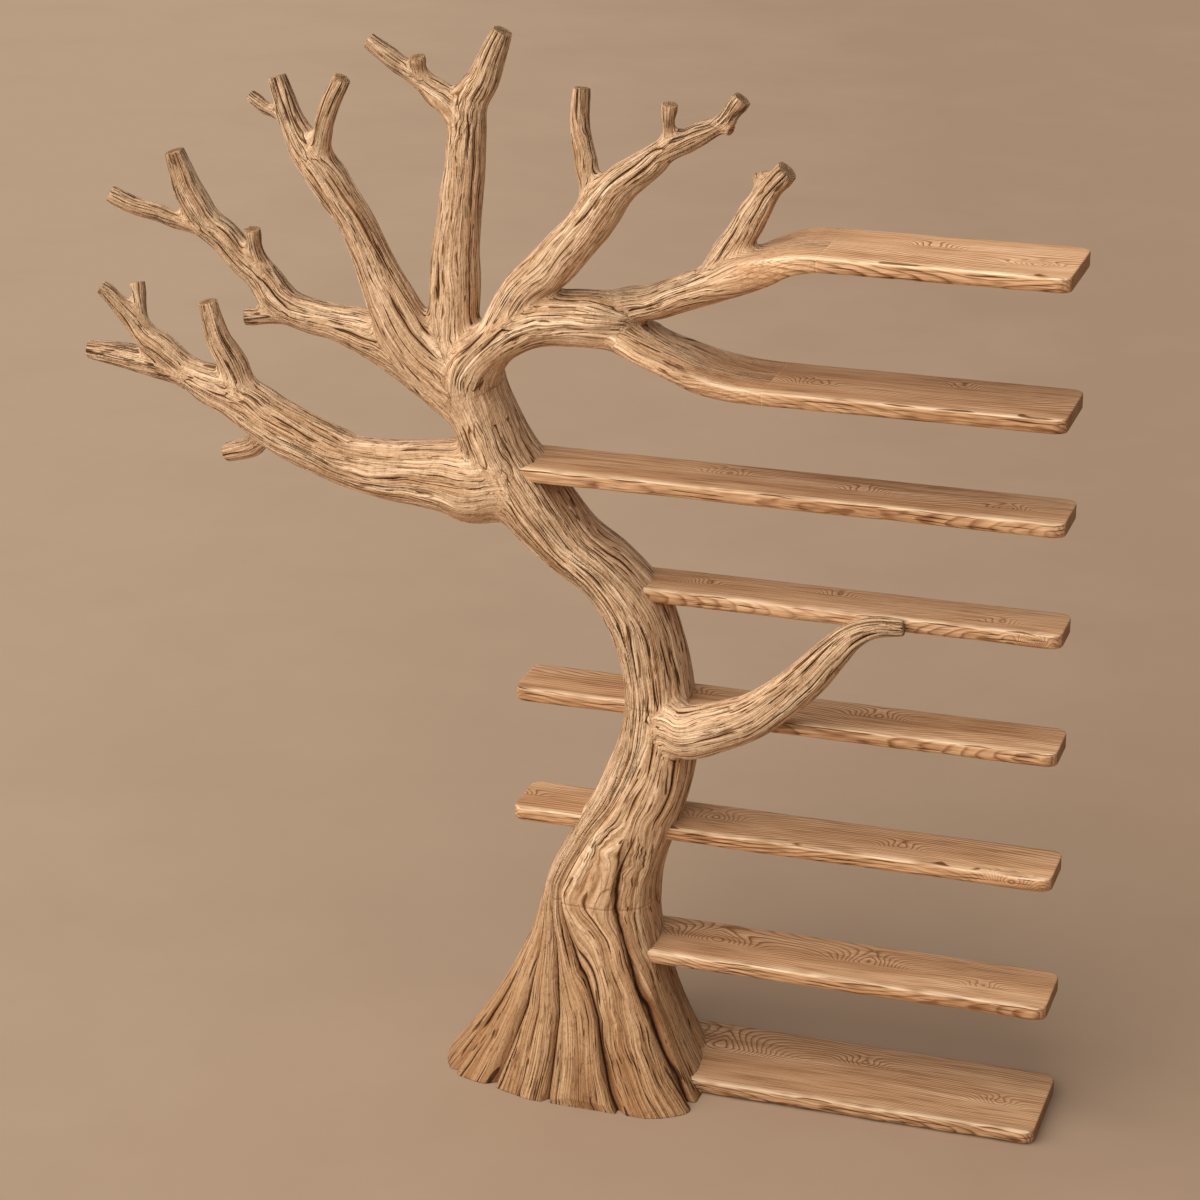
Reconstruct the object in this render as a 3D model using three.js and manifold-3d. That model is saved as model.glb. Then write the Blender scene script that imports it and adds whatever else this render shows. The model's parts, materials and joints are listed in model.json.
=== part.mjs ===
// Tree shaped bookshelf: a carved timber trunk whose limbs and shelf boards are jointed to it.
// Millimetres. X runs along the shelves to the right, Y to the back and Z up.
// The origin is on the floor, in the middle of the trunk's foot.
import * as THREE from 'three';
import { mergeVertices } from 'three/addons/utils/BufferGeometryUtils.js';
import Module from 'manifold-3d';

const wasm = await Module();
wasm.setup();

// Driving dimensions shared by all pieces
const backPlane = 190;
const jointGap = 0.3;
const cutOverrun = 80;
const ringStep = 62;
const limbSides = 12;
const twigSides = 8;
const dowelSides = 10;
const searchStep = 2;

// Trunk: it leans from its foot to the right, then sweeps left to the crown
const trunk = {
  crownHeight: 1430,
  lean: 270,
  girth: 117,
  depth: 194,
  flareHeight: 350,
  footReach: 285,
  fluteDepth: 30,
  fluteHalfAngle: 3,
  fluteRunout: 560,
  backTrim: 9,
};
// Each row: place along the lean, height, half width, front edge pulled back from the full depth
const trunkShares = [
  [0, -0.06, 1, 0], [0, 0.05, 1, 0], [0.005, 0.15, 1, 0], [0.03, 0.24, 0.98, 0],
  [0.155, 0.318, 0.82, 0.03], [0.315, 0.39, 0.745, 0.05], [0.435, 0.466, 0.66, 0.08],
  [0.455, 0.54, 0.535, 0.1], [0.41, 0.603, 0.49, 0.1], [0.275, 0.675, 0.46, 0.09],
  [0.06, 0.725, 0.4, 0.09], [-0.22, 0.762, 0.42, 0.08], [-0.44, 0.804, 0.5, 0.07],
  [-0.6, 0.838, 0.53, 0.09], [-0.755, 0.878, 0.48, 0.12], [-0.865, 0.918, 0.47, 0.15],
  [-0.965, 0.962, 0.46, 0.19], [-1, 1, 0.42, 0.24],
];
const trunkSquareness = 2.7;
const flareFallShare = 1.8;
// The toes of the foot, each by its angle from +X in degrees and its reach
const footShares = [
  [-180, 0.99], [-167, 1.0], [-152, 0.86], [-133.5, 0.7], [-118, 0.665], [-96, 0.66], [-74, 0.735],
  [-55, 0.825], [-41, 0.965], [-27, 1.06], [-22.5, 1.0], [-11, 0.95], [12, 0.9], [42, 0.95],
  [90, 0.75], [138, 0.98], [160, 0.95], [180, 0.99],
];
// Long flutes that run up from between the toes: angle in degrees, and depth
const fluteShares = [[-152, 0.55], [-133.5, 0.8], [-96, 0.8], [-55, 1], [-22.5, 0.85], [12, 0.4]];
const plainAngles = [-170, -118, -108, -82, -72, -42, -32, -14, -4, 24, 40, 55, 75, 90, 105, 125, 148, 165, 180];
// The flutes and the grain between them swing round as they rise: height against the flutes' runout,
// and the angle that each flute has there
const swingShares = [
  [0, -152, -133.5, -96, -55, -22.5, 12],
  [0.25, -152, -134, -101, -73, -30, 10],
  [0.48, -155, -140, -117, -101, -48, 4],
  [0.64, -159, -149, -138, -126, -66, -2],
  [0.78, -159, -149, -136, -122, -75, -5],
  [1.02, -155, -143, -125, -105, -76, -5],
  [2.4, -152, -133.5, -96, -55, -22.5, 12],
];
const steadyAngles = [-180, 75, 180];

// Shelf boards, top to bottom
const board = {
  thickness: 30,
  cornerRadius: 26,
  easedEdge: 4,
  liveEdge: 5,
};
// The height of each top against the crown; the lowest board lies on the floor
const shelfShares = [1.21818, 1.02867, 0.87692, 0.71538, 0.54895, 0.36713, 0.18182];
const shelfTops = [...shelfShares.map((share) => share * trunk.crownHeight), board.thickness];
const shelves = {
  shelf_1: { top: shelfTops[0], depth: 230, end: 918, start: 455 },
  shelf_2: { top: shelfTops[1], depth: 204, end: 919, start: 350 },
  shelf_3: { top: shelfTops[2], depth: 155, end: 918 },
  shelf_4: { top: shelfTops[3], depth: 128, end: 919 },
  shelf_5: { top: shelfTops[4], depth: 137, end: 923, tail: 290 },
  shelf_6: { top: shelfTops[5], depth: 143, end: 927, tail: 237 },
  shelf_7: { top: shelfTops[6], depth: 169, end: 934 },
  shelf_8: { top: shelfTops[7], depth: 250, end: 937 },
};
const liveEdgeShares = [0, 0.5, 0.15, 0.8, 0.35, 0.1, 0.6, 0.2, 0.9, 0.4, 0.1, 0.55, 0];

// Hidden joinery
const trunkDowel = { radius: 22, length: 170, backShare: 0.774, seamShare: 0.586 };
const limbDowel = { radius: 13, length: 84 };
const armDowel = { radius: 9, length: 70 };
const bracePin = { radius: 7, length: 46, sink: 16, inset: 14, placeShare: 0.76 };
const shelfBar = { width: 44, thickness: 8, length: 150, back: 92 };
const looseTenon = { width: 96, thickness: 10, length: 84 };
const peg = { radius: 8, bite: 24, drop: 15 };
const tenonGirthShare = 0.5;
const tenonDepthShare = 0.62;
const tenonInsideShare = 0.5;

const wood = {
  limb: new THREE.MeshStandardMaterial({ color: 0xc79a68, roughness: 0.62, metalness: 0 }),
  board: new THREE.MeshStandardMaterial({ color: 0xbd9265, roughness: 0.55, metalness: 0 }),
  dowel: new THREE.MeshStandardMaterial({ color: 0xd2b183, roughness: 0.7, metalness: 0 }),
  steel: new THREE.MeshStandardMaterial({ color: 0x9a9c9f, roughness: 0.4, metalness: 1 }),
};

const model = new THREE.Group();
const solids = new Map();
const finish = new Map();

// Solids

function toSolid(geometry) {
  const plain = geometry.clone();
  plain.deleteAttribute('normal');
  plain.deleteAttribute('uv');
  const merged = mergeVertices(plain);
  return new wasm.Manifold(new wasm.Mesh({
    numProp: 3,
    vertProperties: new Float32Array(merged.attributes.position.array),
    triVerts: new Uint32Array(merged.index.array),
  }));
}

function toGeometry(solid) {
  const mesh = solid.getMesh();
  const geometry = new THREE.BufferGeometry();
  geometry.setAttribute('position', new THREE.BufferAttribute(new Float32Array(mesh.vertProperties), 3));
  geometry.setIndex(new THREE.BufferAttribute(new Uint32Array(mesh.triVerts), 1));
  geometry.computeVertexNormals();
  return geometry;
}

function block(low, high) {
  const size = high.clone().sub(low);
  const middle = high.clone().add(low).multiplyScalar(1 / 2);
  return toSolid(new THREE.BoxGeometry(size.x, size.y, size.z).translate(middle.x, middle.y, middle.z));
}

// A round rod centred on a point and lying along a direction
function rod(centre, direction, radius, length) {
  const turn = new THREE.Quaternion().setFromUnitVectors(new THREE.Vector3(0, 1, 0), direction);
  const geometry = new THREE.CylinderGeometry(radius, radius, length, dowelSides);
  geometry.applyQuaternion(turn);
  return toSolid(geometry.translate(centre.x, centre.y, centre.z));
}

// A closed skin through rings of equally many points, each ring capped from its middle at the ends
function skin(rings) {
  const count = rings[0].length;
  const points = rings.flat();
  const faces = [];
  for (let ring = 0; ring + 1 < rings.length; ring += 1) {
    for (let side = 0; side < count; side += 1) {
      const here = ring * count + side;
      const next = ring * count + (side + 1) % count;
      faces.push(here, next, next + count);
      faces.push(here, next + count, here + count);
    }
  }
  const middle = (ring) => ring.reduce((sum, point) => sum.add(point), new THREE.Vector3())
    .divideScalar(ring.length);
  const first = points.push(middle(rings[0])) - 1;
  const last = points.push(middle(rings[rings.length - 1])) - 1;
  const top = (rings.length - 1) * count;
  for (let side = 0; side < count; side += 1) {
    const next = (side + 1) % count;
    faces.push(first, next, side);
    faces.push(last, top + side, top + next);
  }
  const geometry = new THREE.BufferGeometry().setFromPoints(points);
  geometry.setIndex(faces);
  return toSolid(geometry);
}

function keep(name, solid, material) {
  solids.set(name, solid);
  finish.set(name, material);
}

// Cuts a piece and drops the offcuts, such as the stub of a limb on its host's far side
function cut(name, tool) {
  const pieces = solids.get(name).subtract(tool).decompose();
  solids.set(name, pieces.reduce((one, other) => (one.volume() > other.volume() ? one : other)));
}

// Curved timber

// Reads a column of a table of rows at a place between its first row and its last
function readColumn(rows, column, place) {
  const along = Math.min(Math.max(place, 0), 1) * (rows.length - 1);
  const row = Math.min(Math.floor(along), rows.length - 2);
  return THREE.MathUtils.lerp(rows[row][column], rows[row + 1][column], along - row);
}

function superPoint(angle, halfWidth, halfDepth, squareness) {
  const power = 2 / squareness;
  const across = Math.cos(angle);
  const through = Math.sin(angle);
  return new THREE.Vector2(
    halfWidth * Math.sign(across) * Math.abs(across) ** power,
    halfDepth * Math.sign(through) * Math.abs(through) ** power,
  );
}

// The frame of a curve at a place: across lies in the plane of the tree, through points to the back
function frameAt(curve, place) {
  const along = curve.getTangent(place);
  const across = new THREE.Vector3(0, 1, 0).cross(along).normalize();
  return { centre: curve.getPoint(place), along, across, through: along.clone().cross(across) };
}

// A timber is a curve with a section at each place on it, which can be grown by a clearance
class Timber {
  constructor(points, sectionAt, reachAt) {
    this.curve = new THREE.CatmullRomCurve3(points, false, 'centripetal');
    this.sectionAt = sectionAt;
    this.reachAt = reachAt;
    this.steps = Math.max(Math.ceil(this.curve.getLength() / ringStep), 3);
  }

  solid(clearance) {
    const rings = [];
    for (let step = 0; step <= this.steps; step += 1) {
      const place = this.curve.getUtoTmapping(step / this.steps);
      const frame = frameAt(this.curve, place);
      const stretch = step === 0 ? -clearance : clearance;
      const end = step === 0 || step === this.steps ? stretch : 0;
      rings.push(this.sectionAt(place, clearance, frame).map((point) => frame.centre.clone()
        .addScaledVector(frame.along, end)
        .addScaledVector(frame.across, point.x)
        .addScaledVector(frame.through, point.y)));
    }
    return skin(rings);
  }

  // Whether the timber covers a point, by its section at the nearest place on the curve
  covers(point) {
    let best = { distance: Infinity, place: 0 };
    const samples = this.steps * 8;
    for (let sample = 0; sample <= samples; sample += 1) {
      const place = this.curve.getUtoTmapping(sample / samples);
      const distance = this.curve.getPoint(place).distanceTo(point);
      if (distance < best.distance) best = { distance, place };
    }
    const frame = frameAt(this.curve, best.place);
    const away = point.clone().sub(frame.centre);
    const reach = this.reachAt(best.place, frame.centre.z);
    const ends = Math.abs(away.dot(frame.along)) < this.curve.getLength() / samples;
    const across = away.dot(frame.across) / reach.x;
    const through = away.dot(frame.through) / reach.y;
    return ends && across ** 2 + through ** 2 < 1;
  }
}

const vector = (x, y, z) => new THREE.Vector3(x, y, z);

// Trunk

const trunkMiddle = backPlane - trunk.depth / 2;

function footRadius(degrees) {
  const row = footShares.findIndex((entry) => entry[0] >= degrees);
  const after = footShares[row];
  const before = footShares[Math.max(row - 1, 0)];
  const span = Math.max(after[0] - before[0], Number.EPSILON);
  return trunk.footReach * THREE.MathUtils.lerp(before[1], after[1], (degrees - before[0]) / span);
}

// Every angle of the trunk's section, with each flute's two lips beside its bed
const trunkAngles = [
  ...plainAngles.map((degrees) => ({ degrees, groove: 0 })),
  ...fluteShares.flatMap(([degrees, depth]) => [
    { degrees: degrees - trunk.fluteHalfAngle, groove: 0 },
    { degrees, groove: depth * trunk.fluteDepth },
    { degrees: degrees + trunk.fluteHalfAngle, groove: 0 },
  ]),
].sort((one, other) => one.degrees - other.degrees);

// How far the foot has spread from the plain trunk at a height: 1 on the floor, 0 above the flare
function footSpread(height) {
  return Math.max(1 - Math.max(height, 0) / trunk.flareHeight, 0) ** flareFallShare;
}

// Reads a rising row of angles at a place between those of another
function readAngle(from, to, at) {
  const next = Math.max(from.findIndex((angle) => angle >= at), 1);
  const share = (at - from[next - 1]) / (from[next] - from[next - 1]);
  return THREE.MathUtils.lerp(to[next - 1], to[next], share);
}

// Where an angle of the foot has swung to at a height
function swungAngle(degrees, height) {
  const rise = height / trunk.fluteRunout;
  const above = swingShares.findIndex((row) => row[0] >= rise);
  const [, ...floor] = swingShares[0];
  if (above < 0) return degrees;
  const [high, ...upper] = swingShares[above];
  const [low, ...lower] = swingShares[Math.max(above - 1, 0)];
  const share = (rise - low) / Math.max(high - low, Number.EPSILON);
  const swung = lower.map((angle, flute) => THREE.MathUtils.lerp(angle, upper[flute], share));
  const [start, ...end] = steadyAngles;
  return readAngle([start, ...floor, ...end], [start, ...swung, ...end], degrees);
}

function trunkSection(place, clearance, frame) {
  const halfWidth = trunk.girth * readColumn(trunkShares, 2, place) + clearance;
  const front = trunk.depth * readColumn(trunkShares, 3, place) / 2;
  const halfDepth = trunk.depth / 2 - front + trunk.backTrim / 2 + clearance;
  const middle = front + trunk.backTrim / 2;
  const height = Math.max(frame.centre.z, 0);
  const spread = footSpread(height);
  const runout = Math.max(1 - height / trunk.fluteRunout, 0);
  return trunkAngles.map(({ degrees, groove }) => {
    const swung = swungAngle(degrees, height);
    const angle = THREE.MathUtils.degToRad(swung);
    const point = superPoint(angle, halfWidth, halfDepth, trunkSquareness);
    point.y += middle;
    const foot = footRadius(swung) + clearance;
    const toe = new THREE.Vector2(foot * Math.cos(angle), foot * Math.sin(angle));
    toe.x -= frame.centre.x;
    toe.y -= frame.centre.y;
    point.lerp(toe, spread);
    const inward = new THREE.Vector2(0, middle).sub(point).normalize();
    return point.addScaledVector(inward, groove * runout);
  });
}

const trunkTimber = new Timber(
  trunkShares.map(([across, height]) => vector(across * trunk.lean, trunkMiddle, height * trunk.crownHeight)),
  trunkSection,
  (place, height) => new THREE.Vector2(
    THREE.MathUtils.lerp(trunk.girth * readColumn(trunkShares, 2, place), trunk.footReach, footSpread(height)),
    trunk.depth / 2 * (1 - readColumn(trunkShares, 3, place)),
  ),
);

function trimTrunk(solid, low, high, back) {
  const reach = trunk.footReach + trunk.lean + cutOverrun;
  return solid.intersect(block(vector(-reach, -reach, low), vector(reach, back, high)));
}

// The point on the trunk's middle line at a height
function trunkAt(height) {
  const curve = trunkTimber.curve;
  let low = 0;
  let high = 1;
  while (high - low > Number.EPSILON * trunk.crownHeight) {
    const place = (low + high) / 2;
    if (curve.getPoint(place).z < height) low = place;
    else high = place;
  }
  return curve.getPoint(low);
}

const trunkTop = trunk.crownHeight + cutOverrun;
const trunkBody = trimTrunk(trunkTimber.solid(0), 0, trunkTop, backPlane);
const trunkClear = trimTrunk(trunkTimber.solid(jointGap), -cutOverrun, trunkTop, backPlane + cutOverrun);
const upperSeam = shelves.shelf_5.top + jointGap;

keep('root_flare', trimTrunk(trunkBody, 0, trunk.flareHeight, backPlane), wood.limb);
keep('lower_trunk', trimTrunk(trunkBody, trunk.flareHeight + jointGap, upperSeam, backPlane), wood.limb);
keep('upper_trunk', trimTrunk(trunkBody, upperSeam + jointGap, trunkTop, backPlane), wood.limb);

// Shelf boards

const shelfMiddle = (shelf) => shelf.top - board.thickness / 2;
const shelfFront = (shelf) => backPlane - shelf.depth;

function shelfStart(shelf) {
  if (shelf.start !== undefined) return shelf.start;
  const middle = trunkAt(shelfMiddle(shelf)).x;
  return shelf.tail === undefined ? middle : middle - shelf.tail;
}

// Plan of a board: square or round at its left end, round at its right, with a wavy front edge
function shelfPlan(shelf, clearance) {
  const left = shelfStart(shelf) - clearance;
  const right = shelf.end + clearance;
  const front = shelfFront(shelf) - clearance;
  const back = backPlane + clearance;
  const corner = board.cornerRadius;
  const leftCorner = shelf.tail === undefined ? 0 : corner;
  const plan = new THREE.Shape();
  plan.moveTo(left + leftCorner, front);
  const waves = liveEdgeShares.length - 1;
  const reach = right - corner - left - leftCorner;
  liveEdgeShares.forEach((wave, step) => {
    if (step > 0) plan.lineTo(left + leftCorner + reach * step / waves, front + wave * board.liveEdge);
  });
  plan.absarc(right - corner, front + corner, corner, -Math.PI / 2, 0, false);
  plan.absarc(right - corner, back - corner, corner, 0, Math.PI / 2, false);
  if (leftCorner > 0) {
    plan.absarc(left + corner, back - corner, corner, Math.PI / 2, Math.PI, false);
    plan.absarc(left + corner, front + corner, corner, Math.PI, Math.PI * 3 / 2, false);
  } else {
    plan.lineTo(left, back);
  }
  return plan;
}

function shelfSolid(shelf, clearance) {
  const ease = board.easedEdge;
  const geometry = new THREE.ExtrudeGeometry(shelfPlan(shelf, clearance), {
    depth: board.thickness + clearance * 2 - ease * 2,
    bevelThickness: ease,
    bevelSize: ease,
    bevelOffset: -ease,
    bevelSegments: 1,
    curveSegments: 4,
  });
  return toSolid(geometry.translate(0, 0, shelf.top - board.thickness - clearance + ease));
}

const throughShelves = ['shelf_5', 'shelf_6'];
const buttShelves = ['shelf_3', 'shelf_4', 'shelf_7', 'shelf_8'];
const armShelves = ['shelf_1', 'shelf_2'];

for (const [name, shelf] of Object.entries(shelves)) keep(name, shelfSolid(shelf, 0), wood.board);
for (const name of buttShelves) cut(name, trunkClear);

// A housing across the trunk's back for each board that passes behind it
for (const name of throughShelves) {
  const shelf = shelves[name];
  const middle = trunkAt(shelfMiddle(shelf)).x;
  const reach = trunk.girth + cutOverrun;
  const housing = block(
    vector(middle - reach, shelfFront(shelf) - jointGap, shelf.top - board.thickness - jointGap),
    vector(middle + reach, backPlane + cutOverrun, shelf.top + jointGap),
  );
  cut('lower_trunk', housing);
}

// Limbs

// Each limb: the place on its host where it starts, its reach, lean and rise, and its girth at the butt.
// Each row of shares: place along the reach, the rise and the lean, half width, and depth against width.
const limbs = {
  brace_limb: {
    hosts: ['trunk'], on: 'trunk', fromShare: 0.475, girth: 58, squareness: 2.2, dowelDrop: 16, dowelOut: 16, crosses: ['shelf_5'],
    meets: { shelf: 'shelf_4', along: 620, inset: 4 },
    shares: [
      [0, 0, 0, 1, 0.7], [0.06, 0.175, 1, 1.03, 0.7], [0.165, 0.185, 1.75, 0.93, 0.8],
      [0.29, 0.26, 2.1, 0.845, 0.85], [0.425, 0.355, 2.2, 0.76, 0.9], [0.52, 0.465, 2.15, 0.705, 0.95],
      [0.65, 0.655, 1.9, 0.64, 1], [0.735, 0.81, 1.55, 0.55, 1], [0.805, 0.92, 1.25, 0.45, 1],
      [0.885, 0.98, 1.05, 0.345, 1], [1, 1, 1, 0.26, 1],
    ],
  },
  arch_limb: {
    hosts: ['trunk'], on: 'trunk', fromShare: 0.962, reach: 319, rise: 181, lean: -2, girth: 56, squareness: 2.3,
    shares: [
      [0, 0, 0, 1, 1.3], [-0.015, 0.22, 0, 1.14, 1.25], [0.03, 0.44, 0, 0.965, 1.35],
      [0.13, 0.62, 0, 0.82, 1.45], [0.26, 0.79, 0, 0.805, 1.4], [0.405, 0.915, 0.2, 0.84, 1.3],
      [0.585, 0.99, 0.5, 0.93, 1.2], [0.835, 1.01, 0.8, 0.98, 1.2], [1, 1, 1, 1.07, 1.2],
    ],
  },
  top_right_limb: {
    hosts: ['trunk', 'arch_limb'], on: 'trunk', fromShare: 0.968, reach: 550, rise: 627, lean: -45, girth: 50,
    squareness: 2.15,
    shares: [
      [0, 0, 0, 0.86, 1.15], [0.045, 0.09, 0.1, 0.84, 1.15], [0.115, 0.215, 0.2, 0.8, 1.1],
      [0.21, 0.355, 0.3, 0.78, 1.1], [0.305, 0.43, 0.4, 0.87, 1.05], [0.375, 0.5, 0.5, 0.85, 1.05],
      [0.435, 0.56, 0.6, 0.8, 1], [0.48, 0.61, 0.7, 0.83, 1], [0.565, 0.71, 0.8, 0.68, 1],
      [0.665, 0.78, 0.8, 0.56, 1], [0.725, 0.825, 0.9, 0.5, 1], [0.83, 0.875, 0.9, 0.41, 1],
      [0.925, 0.92, 1, 0.36, 1], [1, 1, 1, 0.32, 1],
    ],
  },
  top_limb: {
    hosts: ['trunk', 'arch_limb', 'top_right_limb'], on: 'trunk', fromShare: 0.968, reach: 72, rise: 713, lean: 14,
    girth: 54, squareness: 2.2,
    shares: [
      [0, 0, 0, 1, 1.15], [-0.27, 0.075, 0.3, 0.95, 1.1], [-0.49, 0.17, 0.6, 0.89, 1.1],
      [-0.49, 0.31, 0.9, 0.865, 1.05], [-0.485, 0.385, 1, 0.81, 1.05], [-0.375, 0.47, 1, 0.745, 1.05],
      [-0.285, 0.545, 1, 0.7, 1.05], [-0.17, 0.62, 0.9, 0.645, 1.05], [-0.09, 0.715, 0.7, 0.63, 1.05],
      [0.05, 0.81, 0.5, 0.61, 1], [0.44, 0.87, 0.4, 0.5, 1], [0.72, 0.94, 0.2, 0.415, 1],
      [1, 1, 0, 0.315, 1],
    ],
  },
  low_left_limb: {
    hosts: ['trunk'], on: 'trunk', fromShare: 0.852, reach: -911, rise: 184, lean: -30, girth: 70, squareness: 2.3,
    shares: [
      [0, 0, 0, 1, 1.1], [0.09, -0.055, 0, 1.14, 1.1], [0.15, -0.015, 0.1, 1.015, 1.05],
      [0.215, -0.005, 0.2, 0.9, 1], [0.285, 0, 0.4, 0.8, 1], [0.37, 0.05, 0.6, 0.7, 1],
      [0.435, 0.17, 0.8, 0.7, 1], [0.49, 0.295, 1, 0.7, 1], [0.555, 0.45, 1, 0.67, 1],
      [0.61, 0.625, 0.9, 0.63, 1], [0.69, 0.77, 0.8, 0.53, 1], [0.76, 0.87, 0.6, 0.43, 1],
      [0.84, 0.94, 0.4, 0.37, 1], [0.9, 0.97, 0.2, 0.33, 1], [1, 1, 0, 0.245, 1],
    ],
  },
  upper_left_limb: {
    hosts: ['trunk', 'arch_limb', 'top_limb', 'low_left_limb'], on: 'trunk', fromShare: 0.95, reach: -389,
    rise: 631, lean: -36, girth: 54, squareness: 2.2,
    shares: [
      [0, 0, 0, 1, 1.15], [0.135, 0.09, 0.2, 1, 1.1], [0.235, 0.15, 0.3, 1, 1.1],
      [0.34, 0.225, 0.4, 0.98, 1.05], [0.41, 0.31, 0.6, 0.87, 1.05], [0.475, 0.4, 0.7, 0.73, 1],
      [0.515, 0.465, 0.8, 0.65, 1], [0.59, 0.575, 1, 0.595, 1], [0.67, 0.645, 1, 0.61, 1],
      [0.745, 0.715, 1, 0.65, 1], [0.84, 0.785, 0.9, 0.61, 1], [0.905, 0.85, 0.8, 0.48, 1],
      [0.955, 0.92, 0.7, 0.39, 1], [1, 1, 0.6, 0.295, 1],
    ],
  },
  middle_left_limb: {
    hosts: ['trunk', 'arch_limb', 'top_limb', 'low_left_limb', 'upper_left_limb'], on: 'trunk',
    fromShare: 0.935, reach: -633, rise: 487, lean: 24, girth: 56, squareness: 2.2,
    shares: [
      [0, 0, 0, 1, 1.15], [0.105, 0.14, 0.1, 1.07, 1.1], [0.21, 0.23, 0.2, 1.02, 1.05],
      [0.29, 0.275, 0.4, 0.91, 1], [0.385, 0.31, 0.6, 0.77, 1], [0.49, 0.335, 0.8, 0.605, 1],
      [0.615, 0.36, 1, 0.59, 1], [0.685, 0.41, 1, 0.625, 1], [0.73, 0.49, 1, 0.605, 1],
      [0.8, 0.57, 0.9, 0.52, 1], [0.85, 0.64, 0.8, 0.52, 1], [0.905, 0.7, 0.6, 0.535, 1],
      [0.96, 0.825, 0.4, 0.48, 1], [0.98, 0.91, 0.2, 0.395, 1], [1, 1, 0, 0.305, 1],
    ],
  },
};

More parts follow.
